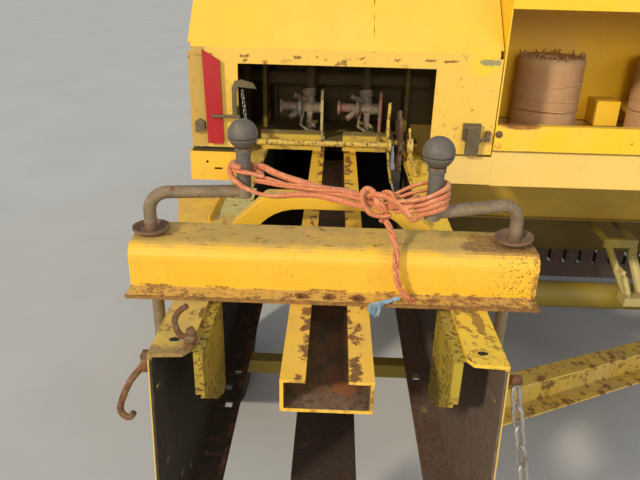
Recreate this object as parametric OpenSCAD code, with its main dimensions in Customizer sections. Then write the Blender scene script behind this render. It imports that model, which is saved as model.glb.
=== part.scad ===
// Square baler with an offset pickup. +Y points forward, +X to the right, Z = 0 is the ground.
// Inside the modules X is measured from the chamber's centreline and Y from its rear end.

/* [Bale chamber] */
// Outer width of the chamber
chamber_w = 500; // [460:5:520]
// Outer height of the chamber
chamber_h = 400; // [380:5:430]
// Height of the chamber's top above the ground
chamber_top = 1030; // [1000:5:1080]
// Length of the open rear chamber
rear_len = 1400; // [1380:10:1440]
// Length of the plunger housing in front of it
housing_len = 1500; // [1440:10:1560]
// Thickness of the chamber's plates
wall_t = 6; // [5:0.5:8]
// Width of the flanges folded inward
flange_w = 56; // [45:1:65]
// How far the foot of a side wall reaches behind its top
wall_lean = 40; // [20:5:60]

/* [Rails and tension gear] */
// Width of the centre rails
rail_w = 125; // [110:5:140]
// Depth of the centre rails
rail_depth = 52; // [44:2:60]
// Width of a centre rail's lips
rail_lip = 34; // [26:1:38]
// How far the top rail reaches behind the chamber
rail_overhang = 46; // [30:2:60]
// How far the top rail reaches to the front
rail_front = 1110; // [1080:10:1115]
// Thickness of the rails' plates
rail_t = 5; // [4:0.5:6]
// Length of the tension beams
beam_len = 662; // [645:1:680]
// Height of the tension beams
beam_h = 80; // [70:2:90]
// Depth of the broad flange of the tension beams
beam_flange = 100; // [90:5:110]
// Depth of the narrow flange of the tension beams
beam_lip = 33; // [28:1:36]
// Where the web of the tension beams stands
beam_y = 183; // [170:1:200]
// Height between the lower tension beam and the chamber's foot
beam_drop = 100; // [90:5:120]
// Diameter of the crank rods
crank_d = 21; // [18:1:24]
// Distance between the two crank rods
crank_span = 604; // [596:2:612]
// Height of a crank's arm above the upper beam
crank_rise = 70; // [60:5:90]
// Length of a crank's arm
crank_arm = 156; // [140:2:170]
// Diameter of the balls on the crank handles
knob_d = 49; // [44:1:56]
// Outer diameter of the sleeves on the crank handles
sleeve_d = 24; // [23:1:28]
// Radius of the bend in a crank
crank_bend = 32; // [26:2:40]
// Diameter of the cupped washers under the cranks
washer_d = 62; // [56:2:68]

/* [Wheels and axle] */
// Outer diameter of the road tyres
tyre_d = 770; // [740:10:790]
// Width of the road tyres
tyre_w = 190; // [170:5:200]
// Diameter of the rims
rim_d = 400; // [380:5:420]
// Centre of the left wheel, left of the chamber's centreline
left_wheel_x = 390; // [385:5:400]
// Distance of the axle from the chamber's rear end
axle_y = 1314; // [1300:2:1330]
// Diameter of the axle tube
axle_d = 96; // [88:2:104]
// Height of the axle tube above the wheel centres
axle_rise = 56; // [45:1:65]
// Diameter of the wheel spindles
spindle_d = 40; // [35:1:45]
// Radial running clearance on the spindles and shafts
run_gap = 0.1; // [0.05:0.01:0.1]
// Gap between the right tyre and the feeder housing
wheel_gap = 15; // [12:1:20]

/* [Hood and twine box] */
// Distance of the hood's rear panel from the chamber's rear end
hood_y = 985; // [975:5:995]
// Length of the hood
hood_len = 430; // [400:5:432]
// Reach of the hood to the left of the centreline
hood_left = 390; // [380:5:400]
// Reach of the hood to the right of the centreline
hood_right = 430; // [420:5:435]
// Height of the hood's foot above the chamber's top
hood_gap = 20; // [16:2:30]
// Height of the hood's upright rear panel
hood_rear_h = 271; // [250:5:290]
// Rise of the slope above the rear panel
hood_slope_h = 190; // [160:10:200]
// Run of the slope above the rear panel
hood_slope_run = 190; // [160:10:220]
// Thickness of the hood's sheet
hood_t = 4; // [3:0.5:6]
// Width of the notch in the hood's rear panel
notch_w = 532; // [500:4:560]
// Height of the notch's top above the chamber's top
notch_top = 250; // [230:5:260]
// Left face of the twine box
box_x = 442; // [440:2:460]
// Width of the twine box
box_w = 1040; // [980:10:1060]
// Height of the twine box
box_h = 540; // [500:10:560]
// Height of the twine box's lower wall
box_wall = 175; // [160:5:190]
// Height of the foot of the hood's front panel above the chamber's top
hinge_rise = 190; // [180:2:210]
// Diameter of the hood's hinge pin
hinge_pin_d = 12; // [10:1:16]
// How far the foot of the twine box lies below the chamber's top
box_drop = 70; // [60:5:90]
// Thickness of the twine box's sheet
box_t = 4; // [3:0.5:6]
// Diameter of a twine ball
ball_d = 200; // [190:5:210]
// Height of a twine ball
ball_h = 324; // [280:2:330]

/* [Feeder and pickup] */
// Rear wall of the feeder housing
feeder_y = 1420; // [1415:5:1440]
// Depth of the feeder housing
feeder_len = 520; // [500:10:540]
// Height of the feeder's floor
feeder_floor = 695; // [690:5:710]
// Height of the feeder housing
feeder_h = 505; // [480:5:540]
// Thickness of the feeder's plates
feeder_t = 6; // [5:0.5:8]
// Left side of the pickup
pickup_x = 330; // [320:5:340]
// Width of the pickup between its side plates
pickup_w = 1500; // [1440:20:1520]
// Distance of the reel's axis from the chamber's rear end
reel_y = 2240; // [2230:5:2260]
// Height of the reel's axis
reel_z = 420; // [410:5:440]
// Radius over the tips of the reel's tines
reel_r = 295; // [285:5:300]
// Radius of the strippers
stripper_r = 245; // [235:5:250]
// Number of strippers along the pickup
stripper_count = 21; // [17:2:25]
// Width of a stripper
stripper_w = 56; // [46:2:58]
// Number of tine bars on the reel
tine_bars = 4; // [3:1:5]
// Distance of the pickup's pivot from the chamber's rear end
pickup_pivot_y = 1990; // [1985:5:2000]
// Height of the pickup's pivot
pickup_pivot_z = 560; // [550:5:570]
// Diameter of the gauge wheel
gauge_d = 380; // [360:10:400]
// Width of the gauge wheel
gauge_w = 90; // [80:5:100]
// How far the feeder housing reaches beyond the pickup
feeder_over = 70; // [64:2:80]

/* [Knotters and twine] */
// Middle of the two knotters, right of the chamber's centreline
knot_mid = 9; // [0:1:12]
// Distance between the two knotters
knot_span = 174; // [168:2:180]
// Distance of the knotters' shaft from the chamber's rear end
knot_y = 1330; // [1325:1:1335]
// Diameter of the knotters' shaft
knot_shaft_d = 45; // [40:1:50]
// Diameter of the metering wheel
meter_d = 180; // [160:5:190]
// Diameter of the twine guide tube
guide_d = 17; // [14:1:20]
// Diameter of the twine bundle between the handles
lash_d = 14; // [10:1:18]
// Diameter of the twine's hanging tail
tail_d = 11; // [8:1:13]
// Diameter of the light blue tie
tie_d = 7; // [5:1:9]

/* [Drive and drawbar] */
// Diameter of the flywheel
flywheel_d = 560; // [520:10:580]
// Thickness of the flywheel
flywheel_t = 70; // [60:5:80]
// Height of the main shaft
shaft_z = 840; // [830:5:850]
// Distance of the drawbar's pivot from the chamber's rear end
pivot_y = 3470; // [3450:5:3500]
// Height of the drawbar's centre
drawbar_z = 450; // [440:5:460]
// Height and width of the drawbar's box section
drawbar_s = 100; // [90:5:110]
// Length of the drawbar in front of its pivot
drawbar_len = 1420; // [1380:10:1480]
// Diameter of the bore for the hitch pin
hitch_d = 33; // [30:1:36]
// Distance of the jack from the drawbar's pivot
jack_y = 820; // [780:10:860]
// Outer diameter of the jack's tube
jack_d = 70; // [64:2:76]
// Diameter of the jack's foot
jack_foot = 150; // [130:5:170]

/* [Hidden] */
$fn = 48;

half_w = chamber_w / 2;
chamber_foot = chamber_top - chamber_h;
housing_y = rear_len;
housing_end = rear_len + housing_len;
wheel_z = tyre_d / 2;
axle_z = wheel_z + axle_rise;
crank_y = beam_y + beam_flange / 2 + 4;
crank_top = chamber_top + beam_h + crank_rise;
swing_left = -8;
swing_right = 19;
box_foot = chamber_top - box_drop;
hood_foot = chamber_top + hood_gap;
hood_top = hood_foot + hood_rear_h + hood_slope_h;
hood_end = hood_y + hood_len;
feeder_end = feeder_y + feeder_len;
pickup_right = pickup_x + pickup_w;
feeder_right = pickup_right + feeder_over;
right_wheel_x = feeder_right + wheel_gap + tyre_w / 2;
side_plate_t = 8;
gauge_x = pickup_right + side_plate_t + 20 + gauge_w / 2;
seat_gap = 0.3;
hinge_y = hood_end + 16;
hinge_z = chamber_top + hinge_rise + 14;
knot_x = [knot_mid - knot_span / 2, knot_mid + knot_span / 2];

// The object's reaches from the chamber's rear end, for centring the frame.
reach_left = left_wheel_x + tyre_w / 2;
gauge_stub = 50;
reach_right = right_wheel_x + tyre_w / 2;
reach_rear = max(rail_overhang, wall_lean);
reach_front = pivot_y + drawbar_len + 50;
mid_x = (reach_right - reach_left) / 2;
mid_y = (reach_front - reach_rear) / 2;

module at_machine() {
    translate([-mid_x, -mid_y, 0]) children();
}

// Block from one corner to the opposite one.
module block(a, b) {
    translate(a) cube(b - a);
}

// Outline in Y and Z, extruded along X.
module along_x(x0, x1) {
    translate([x0, 0, 0]) rotate([90, 0, 90]) linear_extrude(x1 - x0) children();
}

// Outline in X and Z, extruded along Y.
module along_y(y0, y1) {
    translate([0, y1, 0]) rotate([90, 0, 0]) linear_extrude(y1 - y0) children();
}

// Round bars along an axis.
module bar_x(x0, x1, y, z, d) {
    translate([x0, y, z]) rotate([0, 90, 0]) cylinder(d = d, h = x1 - x0);
}

module bar_y(y0, y1, x, z, d) {
    translate([x, y0, z]) rotate([-90, 0, 0]) cylinder(d = d, h = y1 - y0);
}

module bar_z(z0, z1, x, y, d) {
    translate([x, y, z0]) cylinder(d = d, h = z1 - z0);
}

// Turns the X axis of its children from point p towards point q.
module aim(p, q) {
    v = q - p;
    run = sqrt(v[0] * v[0] + v[1] * v[1]);
    translate(p) rotate([0, -atan2(v[2], run), atan2(v[1], v[0])]) children();
}

// Round bar between two points.
module rod(p, q, d) {
    aim(p, q) rotate([0, 90, 0]) cylinder(d = d, h = norm(q - p));
}

// Bar bent through a chain of points.
module bent_bar(pts, d) {
    for (i = [0 : len(pts) - 2]) rod(pts[i], pts[i + 1], d);
    for (i = [1 : len(pts) - 2]) translate(pts[i]) sphere(d = 1.06 * d);
}

function unit(v) = v / norm(v);
function ahead(pts, i) = unit(pts[min(i + 1, len(pts) - 1)] - pts[max(i - 1, 0)]);
function ring_point(p, d, up, r, a) =
    let (u = unit(cross(up, d)), v = cross(d, u)) p + r * (cos(a) * u + sin(a) * v);

// Cord along a chain of points. up is any direction well off the cord.
module cord(pts, d, up) {
    n = len(pts);
    k = 10;
    points = [for (i = [0 : n - 1], j = [0 : k - 1]) ring_point(pts[i], ahead(pts, i), up, d / 2, j * 360 / k)];
    side_a = [for (i = [0 : n - 2], j = [0 : k - 1]) [i * k + j, (i + 1) * k + j, (i + 1) * k + (j + 1) % k]];
    side_b = [for (i = [0 : n - 2], j = [0 : k - 1]) [i * k + j, (i + 1) * k + (j + 1) % k, i * k + (j + 1) % k]];
    caps = [[for (j = [0 : k - 1]) j], [for (j = [k - 1 : -1 : 0]) (n - 1) * k + j]];
    polyhedron(points = points, faces = concat(side_a, side_b, caps));
}

// Close-wound coil between two points.
module coil(p, q, d, wire) {
    turns = floor(norm(q - p) / wire);
    pitch = norm(q - p) / turns;
    aim(p, q) rotate([0, 90, 0]) rotate_extrude($fn = 24) polygon(concat(
        [[0, 0]],
        [for (i = [0 : turns - 1], e = [0, 1]) [d / 2 - (1 - e) * 0.35 * wire, (i + e / 2) * pitch]],
        [[d / 2 - 0.35 * wire, turns * pitch], [0, turns * pitch]]));
}

// Bale chamber

module chamber_side(side, slots, foot_slots) {
    foot_inner = half_w - flange_w - 4;
    module plates() {
        along_x(half_w - wall_t, half_w) polygon([
            [0, chamber_top], [-wall_lean, chamber_foot],
            [rear_len, chamber_foot], [rear_len, chamber_top]]);
        translate([0, 0, chamber_top - wall_t]) linear_extrude(wall_t) polygon([
            [half_w, 0], [half_w - flange_w + 8, 4], [half_w - flange_w, 16],
            [half_w - flange_w, rear_len], [half_w, rear_len]]);
        translate([0, 0, chamber_foot]) linear_extrude(wall_t) polygon([
            [half_w, -wall_lean], [foot_inner, 8 - wall_lean],
            [foot_inner, rear_len], [half_w, rear_len]]);
    }
    mirror([side < 0 ? 1 : 0, 0, 0]) difference() {
        plates();
        // Slots by place along the wall and height below its top.
        for (p = slots) block([half_w - wall_t - 1, p[0] - 9, chamber_top - p[1] - 6],
                              [half_w + 1, p[0] + 9, chamber_top - p[1] + 6]);
        for (p = foot_slots) block([p[0] - 8, p[1] - 11, chamber_foot - 1],
                                   [p[0] + 8, p[1] + 11, chamber_foot + wall_t + 1]);
    }
}

module chamber_side_left() {
    color("goldenrod") at_machine() chamber_side(-1,
        [[19, 69], [30, 218], [98, 311], [156, 350]],
        [[224, 446], [214, 386], [210, 503]]);
}

module chamber_side_right() {
    color("goldenrod") at_machine() chamber_side(1,
        [[30, 81], [36, 231], [162, 350]],
        [[216, 392], [212, 510]]);
}

feed_y0 = feeder_y + 30;
feed_y1 = feeder_end - 30;

module plunger_housing() {
    color("gold") at_machine() difference() {
        block([-half_w, housing_y, chamber_foot], [half_w, housing_end, chamber_top]);
        block([wall_t - half_w, housing_y - 1, chamber_foot + wall_t],
              [half_w - wall_t, housing_end - wall_t, chamber_top - wall_t]);
        block([half_w - wall_t - 1, feed_y0, chamber_foot + 40],
              [half_w + 1, feed_y1, chamber_top - 40]);
    }
}

module plunger_block() {
    gap = 4;
    color("dimgray") at_machine() block(
        [wall_t + gap - half_w, housing_end - wall_t - 460, chamber_foot + wall_t],
        [half_w - wall_t - gap, housing_end - wall_t - 20, chamber_top - wall_t - gap]);
}

// Lipped channel, open upward, with its mouth at height 0.
module rail_section(t) {
    h = rail_w / 2;
    polygon([
        [-h, 0], [-h, -rail_depth], [h, -rail_depth], [h, 0], [h - rail_lip, 0], [h - rail_lip, -t],
        [h - t, -t], [h - t, t - rail_depth], [t - h, t - rail_depth], [t - h, -t],
        [rail_lip - h, -t], [rail_lip - h, 0]]);
}

module top_rail() {
    color("gold") at_machine() translate([0, 0, chamber_top])
        along_y(-rail_overhang, rail_front) rail_section(rail_t);
}

module bottom_rail() {
    color("saddlebrown") at_machine() translate([0, 0, chamber_foot - rail_depth])
        mirror([0, 0, 1]) translate([0, 0, 0])
        along_y(0, rail_front) rail_section(rail_t);
}

cross_y = 560;
cross_w = 34;
cross_h = 36;
brace_h = 120;
brace_near = [half_w - 60, cross_y - 85, chamber_foot - 120];

module chamber_frame() {
    color("gold") at_machine() {
        difference() {
            block([-half_w, cross_y, chamber_foot - cross_h],
                  [half_w, cross_y + cross_w, chamber_foot]);
            block([-rail_w / 2 - seat_gap, cross_y - 1, chamber_foot - rail_depth - seat_gap],
                  [rail_w / 2 + seat_gap, cross_y + cross_w + 1, chamber_foot + 1]);
        }
        // Plate that carries the near end of the brace.
        block([half_w - 12, brace_near[1] - 60, brace_near[2] - brace_h / 2 - 20],
              [half_w, cross_y + cross_w, chamber_foot]);
    }
}

// Folded beam: a lip to the rear at one edge and a broad flange to the front at the other.
module beam_section(t) {
    bend = 25;
    mid = [beam_y + bend, beam_h - bend];
    polygon(concat(
        [[beam_y - beam_lip, 0], [beam_y + t, 0]],
        [for (a = [180 : -15 : 90]) mid + (bend - t) * [cos(a), sin(a)]],
        [[beam_y + beam_flange, beam_h - t], [beam_y + beam_flange, beam_h]],
        [for (a = [90 : 15 : 180]) mid + bend * [cos(a), sin(a)]],
        [[beam_y, t], [beam_y - beam_lip, t]]));
}

beam_t = 6;
beam_x0 = 3 - beam_len / 2;

module beam_upper() {
    color("gold") at_machine() difference() {
        translate([0, 0, chamber_top]) along_x(beam_x0, beam_x0 + beam_len) beam_section(beam_t);
        for (sx = [-1, 1])
            bar_z(chamber_top + beam_h - 20, chamber_top + beam_h + 1,
                  sx * crank_span / 2, crank_y, crank_d + 2);
        for (x = [-rail_w / 2 + 17, 0, rail_w / 2 - 17])
            bar_z(chamber_top - 1, chamber_top + beam_t + 1, x, beam_y - 16, 11);
    }
}

beam_low_top = chamber_foot - beam_drop;

module beam_lower() {
    color("gold") at_machine() {
        difference() {
            along_x(beam_x0, beam_x0 + beam_len)
                translate([0, beam_low_top]) mirror([0, 1]) beam_section(beam_t);
            for (sx = [-1, 1])
                bar_z(beam_low_top - beam_h - 1, beam_low_top - beam_h + 20,
                      sx * crank_span / 2, crank_y, crank_d + 2);
        }
        // Stools that bear on the bottom rail.
        for (sx = [-1, 1])
            block([sx * 40 - 5, beam_y - beam_lip, beam_low_top],
                  [sx * 40 + 5, beam_y + beam_t, chamber_foot - rail_depth]);
    }
}

// Crank with its rod, arm and handle. swing turns the arm about the rod.
module crank(side, swing, tilt) {
    low = beam_low_top - beam_h - 40;
    base = chamber_top + beam_h;
    cup_r = washer_d / 2;
    translate([side * crank_span / 2, crank_y, 0]) rotate(side < 0 ? -swing : 180 + swing) {
        bar_z(low, crank_top - crank_bend, 0, 0, crank_d);
        translate([crank_bend, 0, crank_top - crank_bend]) rotate([90, 0, 0]) rotate(90)
            rotate_extrude(angle = 90) translate([crank_bend, 0]) circle(d = crank_d);
        bar_x(crank_bend, crank_arm, 0, crank_top, crank_d);
        // Handle with its sleeve, collar and ball.
        translate([crank_arm, 0, crank_top]) {
            translate([0, 0, -crank_d / 2]) cylinder(d = sleeve_d, h = 84);
            translate([0, 0, 66]) cylinder(d = sleeve_d + 4, h = 8);
            translate([0, 0, 96]) difference() {
                sphere(d = knob_d);
                translate([0, 0, -5]) rotate_extrude() translate([knob_d / 2 - 0.8, 0]) square([5, 1.6]);
            }
        }
        // Cupped washer on the upper beam and nut under the lower one.
        translate([0, 0, base + cup_r * sin(tilt)]) rotate([0, tilt, 0]) rotate_extrude() polygon([
            [crank_d / 2 - 1, 0], [cup_r - 8, 0], [cup_r, 7], [cup_r, 11],
            [cup_r - 2, 11], [cup_r - 9, 4], [crank_d / 2 - 1, 4]]);
        translate([0, 0, low + 6]) cylinder(d = 36, h = 34, $fn = 6);
    }
}

module crank_left() {
    color("rosybrown") at_machine() crank(-1, swing_left, 0);
}

module crank_right() {
    color("rosybrown") at_machine() crank(1, swing_right, 6);
}

arch_y = 465;
arch_depth = 40;

module arch_bridge() {
    base = 208;
    flat = 136;
    rise = 68;
    band = 28;
    foot = 58;
    color("gold") at_machine() translate([0, 0, chamber_top])
        along_y(arch_y, arch_y + arch_depth) polygon([
            [-base, 0], [-flat, rise], [flat, rise], [base, 0], [base - foot, 0],
            [flat - 12, rise - band], [12 - flat, rise - band], [foot - base, 0]]);
}

module side_wedges() {
    inner = half_w - flange_w - 12;
    under = chamber_top - wall_t;
    color("gold") at_machine() for (side = [-1, 1]) mirror([side < 0 ? 1 : 0, 0, 0]) {
        along_x(inner - wall_t, inner) polygon([
            [12, under], [172, under], [172, under - 168], [152, under - 174],
            [100, under - 146], [12, under - 76]]);
        block([inner - 1, 24, under - 5], [half_w - wall_t, 172, under]);
        // Folded rear edge.
        block([inner - 1, 12, under - 70], [inner + 7, 17, under]);
    }
}

hook_d = 9;

module wall_hooks() {
    top = chamber_top;
    color("saddlebrown") at_machine() {
        // Standing hook on the left flange.
        block([-204, 26, top], [-190, 40, top + 5]);
        bent_bar([[-194, 33, top + 22], [-203, 33, top + 8], [-213, 33, top + 15],
                  [-217, 33, top + 33], [-211, 33, top + 48], [-198, 33, top + 59]], hook_d);
        // Hanging hook outside the left wall.
        block([-half_w - 14, 12, top - 40], [-half_w, 28, top - 14]);
        bent_bar([[-half_w - 8, 20, top - 20], [-half_w - 17, 20, top - 40], [-half_w - 38, 20, top - 66],
                  [-half_w - 52, 20, top - 100], [-half_w - 54, 20, top - 120],
                  [-half_w - 46, 20, top - 129], [-half_w - 36, 20, top - 120]], hook_d + 1);
        // Bolt that carries the chain on the right wall.
        bar_x(half_w, half_w + 22, 12, top - 30, 14);
    }
}

chain_wire = 6;
chain_link = 44;

module chain_ring(l, w, d) {
    for (e = [-1, 1]) {
        translate([e * (l / 2 - w / 2), 0, 0]) rotate(e > 0 ? -90 : 90)
            rotate_extrude(angle = 180, $fn = 12) translate([w / 2 - d / 2, 0]) circle(d = d, $fn = 8);
        rotate([0, 90, 0]) translate([0, e * (w / 2 - d / 2), (w - l) / 2]) cylinder(d = d, h = l - w, $fn = 8);
    }
}

module side_chain() {
    from = [half_w + 16, 11.6, chamber_top - 42.7];
    to = [half_w + 52, -10, chamber_top - 225];
    step = chain_link - 2 * chain_wire + 1;
    count = floor(norm(to - from) / step);
    color("saddlebrown") at_machine() aim(from, to) for (i = [0 : count - 1])
        translate([(i + 0.5) * step, 0, 0]) rotate([90 * (i % 2) + 20, 0, 0])
            chain_ring(chain_link, 21, chain_wire);
}

module left_ledge() {
    top = chamber_top;
    color("gold") at_machine() {
        translate([0, 0, top - 5]) linear_extrude(5) polygon([
            [-362, 648], [-half_w, 660], [-half_w, 476], [-320, 473]]);
        // Raised right lip, hanging left edge and gussets to the wall.
        block([-half_w - 8, 480, top - 1], [-half_w - 4, 655, top + 12]);
        translate([0, 0, top - 40]) linear_extrude(40) polygon([
            [-362, 648], [-358, 648], [-316, 473], [-320, 473]]);
        for (y = [490, 632]) along_y(y, y + 6) polygon([
            [-half_w, top - 4], [-half_w, top - 90], [-half_w - 60, top - 4]]);
    }
}

module tail_panel() {
    top = chamber_top + 5;
    color("gold") at_machine() difference() {
        union() {
            block([-408, hood_y, top - 84], [-half_w, hood_y + 4, top]);
            block([-408, hood_y, top - 84], [-404, hood_y + 120, top]);
            block([-408, hood_y, top - 84], [-half_w, hood_y + 18, top - 80]);
            block([-half_w - 5, hood_y, top - 84], [-half_w, hood_y + 120, top - 6]);
        }
        bar_y(hood_y - 1, hood_y + 6, -360, top - 30, 8);
        block([-340, hood_y - 1, top - 52], [-318, hood_y + 6, top - 46]);
    }
}

// Axle and wheels

axle_left_x = -left_wheel_x + tyre_w / 2 + 30;
axle_right_x = right_wheel_x - tyre_w / 2 - 30;
hub_reach = 60;
brace_end_z = axle_z - axle_d / 2 - 91;
brace_lug_x = 1240;

module axle_end(x, side) {
    end_t = 20;
    block([x - end_t / 2, axle_y - 60, wheel_z - 50], [x + end_t / 2, axle_y + 60, axle_z + 60]);
}

module axle() {
    color("goldenrod") at_machine() {
        bar_x(axle_left_x, axle_right_x, axle_y, axle_z, axle_d);
        axle_end(axle_left_x, -1);
        axle_end(axle_right_x, 1);
        // Lug under the tube for the brace.
        block([brace_lug_x, axle_y - 190, brace_end_z - 70], [brace_lug_x + 12, axle_y + 40, axle_z]);
        bar_x(-left_wheel_x - hub_reach, axle_left_x, axle_y, wheel_z, spindle_d);
        bar_x(axle_right_x, right_wheel_x + hub_reach, axle_y, wheel_z, spindle_d);
    }
}

module axle_saddles() {
    color("gold") at_machine() difference() {
        for (sx = [-1, 1])
            block([sx * 200 - 8, axle_y - 90, axle_z - 20], [sx * 200 + 8, axle_y + 90, chamber_foot]);
        bar_x(-300, 300, axle_y, axle_z, axle_d + 2 * seat_gap);
    }
}

module axle_brace() {
    far = [brace_lug_x + 40, axle_y - 124, brace_end_z];
    len = norm(far - brace_near);
    color("darkkhaki") at_machine() intersection() {
        aim(brace_near, far) difference() {
            translate([0, -30, -brace_h / 2]) cube([len, 60, brace_h]);
            translate([-1, -60, 6 - brace_h / 2]) cube([len + 2, 84, brace_h - 12]);
        }
        block([half_w, 0, 0], [brace_lug_x, 2000, 1000]);
    }
}

spring_y = axle_y - 64;
spring_foot = [1110, spring_y, chamber_top - 560];
spring_d = 32;

module lift_springs() {
    color("gray") at_machine() {
        // Bracket under the feeder housing and tube down to the axle.
        for (x = [934, 1030]) block([x, spring_y - 8, feeder_floor - 14], [x + 16, feeder_y + 60, feeder_floor]);
        block([934, spring_y - 8, feeder_floor - 30], [1046, spring_y + 8, feeder_floor]);
        rod([943, spring_y, feeder_floor - 10], [1046, spring_y, chamber_top - 540], 24);
        block([1023, spring_y - 9, feeder_floor - 64], [1049, spring_y + 9, feeder_floor - 30]);
        coil([1038, spring_y, feeder_floor - 54], [1098, spring_y, chamber_top - 530], spring_d, 6);
        rod([1096, spring_y, chamber_top - 524], [1108, spring_y, chamber_top - 560], 14);
        rod([1010, spring_y - 30, chamber_top - 446], [1054, spring_y - 30, chamber_top - 556], 9);
        coil([1018, spring_y - 30, chamber_top - 466], [1044, spring_y - 30, chamber_top - 531], 20, 5);
        bar_y(spring_y - 38, spring_y + 5, 1007, chamber_top - 446, 16);
        // Shoe that rests against the axle tube.
        block([1030, spring_y - 44, chamber_top - 572], [1126, axle_y - axle_d / 2 - seat_gap, chamber_top - 540]);
    }
}

// Ribbed tyre, revolved about X, with its centre at x.
module tyre(x) {
    w = tyre_w / 2;
    r = tyre_d / 2;
    bead = rim_d / 2 + 4;
    rib = [-0.72, -0.36, 0, 0.36, 0.72];
    translate([x, axle_y, wheel_z]) rotate([0, 90, 0]) rotate_extrude($fn = 72) {
        difference() {
            polygon([
                [bead, -w * 0.62], [bead + 18, -w * 0.62], [bead + 44, -w * 0.92], [(r + bead) / 2, -w],
                [r - 34, -w * 0.94], [r - 10, -w * 0.8], [r - 10, w * 0.8],
                [r - 34, w * 0.94], [(r + bead) / 2, w], [bead + 44, w * 0.92],
                [bead + 18, w * 0.62], [bead, w * 0.62]]);
            polygon([
                [bead - 1, -w * 0.5], [bead + 44, -w * 0.78], [r - 50, -w * 0.78],
                [r - 34, -w * 0.6], [r - 34, w * 0.6], [r - 50, w * 0.78],
                [bead + 44, w * 0.78], [bead - 1, w * 0.5]]);
        }
        for (k = rib) translate([r - 11, k * w - 14]) square([11, 28]);
    }
}

// Pressed rim with its disc and hub. side is the outer side.
module rim(x, side) {
    w = tyre_w / 2;
    r = rim_d / 2;
    translate([x, axle_y, wheel_z]) rotate([0, 90, 0]) difference() {
        rotate_extrude($fn = 72) {
            translate([r - 6, -w * 0.62 - 8]) square([9.7, w * 1.24 + 16]);
            for (k = [-1, 1]) translate([r - 6, k * (w * 0.62 + 4.5) - 4]) square([26, 8]);
            translate([60, side * 20 - 4]) square([r - 62, 8]);
            translate([spindle_d / 2 + run_gap, -46]) square([45, 92]);
        }
        for (a = [0 : 72 : 359]) rotate(a) translate([r - 60, 0, side * 20 - 10])
            cylinder(d = 40, h = 20);
    }
}

module tyre_left() {
    color("dimgray") at_machine() tyre(-left_wheel_x);
}

module rim_left() {
    color("gold") at_machine() rim(-left_wheel_x, -1);
}

module tyre_right() {
    color("dimgray") at_machine() tyre(right_wheel_x);
}

module rim_right() {
    color("gold") at_machine() rim(right_wheel_x, 1);
}

// Front of the machine

pin_d = 40;

module front_frame() {
    plate_t = 12;
    jaw_t = 20;
    jaw = drawbar_s / 2 + seat_gap;
    back_y = pivot_y - 120;
    color("gold") at_machine() {
        for (sx = [-1, 1]) along_x(sx * 90 - plate_t / 2, sx * 90 + plate_t / 2) polygon([
            [housing_end - 500, chamber_foot], [housing_end, chamber_foot],
            [housing_end + 60, drawbar_z + 90], [pivot_y + 10, drawbar_z + jaw + jaw_t],
            [pivot_y + 10, drawbar_z + jaw], [housing_end + 40, drawbar_z + jaw],
            [housing_end - 60, drawbar_z + 60]]);
        for (low = [-jaw - jaw_t, jaw])
            block([-96, back_y, drawbar_z + low], [96, pivot_y + 60, drawbar_z + low + jaw_t]);
        block([-96, back_y - 20, drawbar_z - jaw - jaw_t], [96, back_y, drawbar_z + jaw + jaw_t]);
        bar_z(drawbar_z - jaw - jaw_t - 12, drawbar_z + jaw + jaw_t + 12, 0, pivot_y, pin_d);
    }
}

main_shaft_d = 50;
fly_y = housing_end + 310;

module gearbox() {
    color("gray") at_machine() {
        block([-150, housing_end, shaft_z - 160], [150, housing_end + 250, shaft_z + 150]);
        bar_y(housing_end + 249, fly_y - seat_gap, 0, shaft_z, 120);
        bar_y(fly_y - 2, fly_y + flywheel_t + 30, 0, shaft_z, main_shaft_d);
    }
}

module flywheel() {
    bore = main_shaft_d / 2 + run_gap;
    rim_in = flywheel_d / 2 - 50;
    hole_r = (rim_in + 60) / 2;
    color("firebrick") at_machine() translate([0, fly_y, shaft_z]) rotate([-90, 0, 0]) difference() {
        rotate_extrude($fn = 72) polygon([
            [bore, 0], [60, 0], [60, 26], [rim_in, 26], [rim_in, 0],
            [flywheel_d / 2, 0], [flywheel_d / 2, flywheel_t], [rim_in, flywheel_t],
            [rim_in, 44], [60, 44], [60, flywheel_t + 20], [42, flywheel_t + 40],
            [42, pivot_y - fly_y - 50], [0, pivot_y - fly_y - 50],
            [0, flywheel_t + 30 + seat_gap], [bore, flywheel_t + 30 + seat_gap]]);
        for (a = [30 : 60 : 359]) rotate(a) translate([hole_r, 0, 10]) cylinder(d = rim_in - 110, h = 50);
    }
}

module drawbar() {
    h = drawbar_s / 2;
    end = pivot_y + drawbar_len;
    color("firebrick") at_machine() {
        difference() {
            union() {
                block([-h, pivot_y - 60, drawbar_z - h], [h, end - 100, drawbar_z + h]);
                for (dz = [-45, 25])
                    block([-40, end - 100, drawbar_z + dz], [40, end + 50, drawbar_z + dz + 20]);
            }
            block([6 - h, pivot_y + 80, drawbar_z - h + 6], [h - 6, end - 120, drawbar_z + h - 6]);
            bar_z(drawbar_z - 60, drawbar_z + 60, 0, end, hitch_d);
            bar_z(drawbar_z - 60, drawbar_z + 60, 0, pivot_y, pin_d + 2 * run_gap);
        }
    }
}

pto_run = 1250;
pto_drop = 200;
pto_tube_d = 76;
pto_bore_d = 35;
pto_stub = 80;
pto_bore_len = 70;

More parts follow.
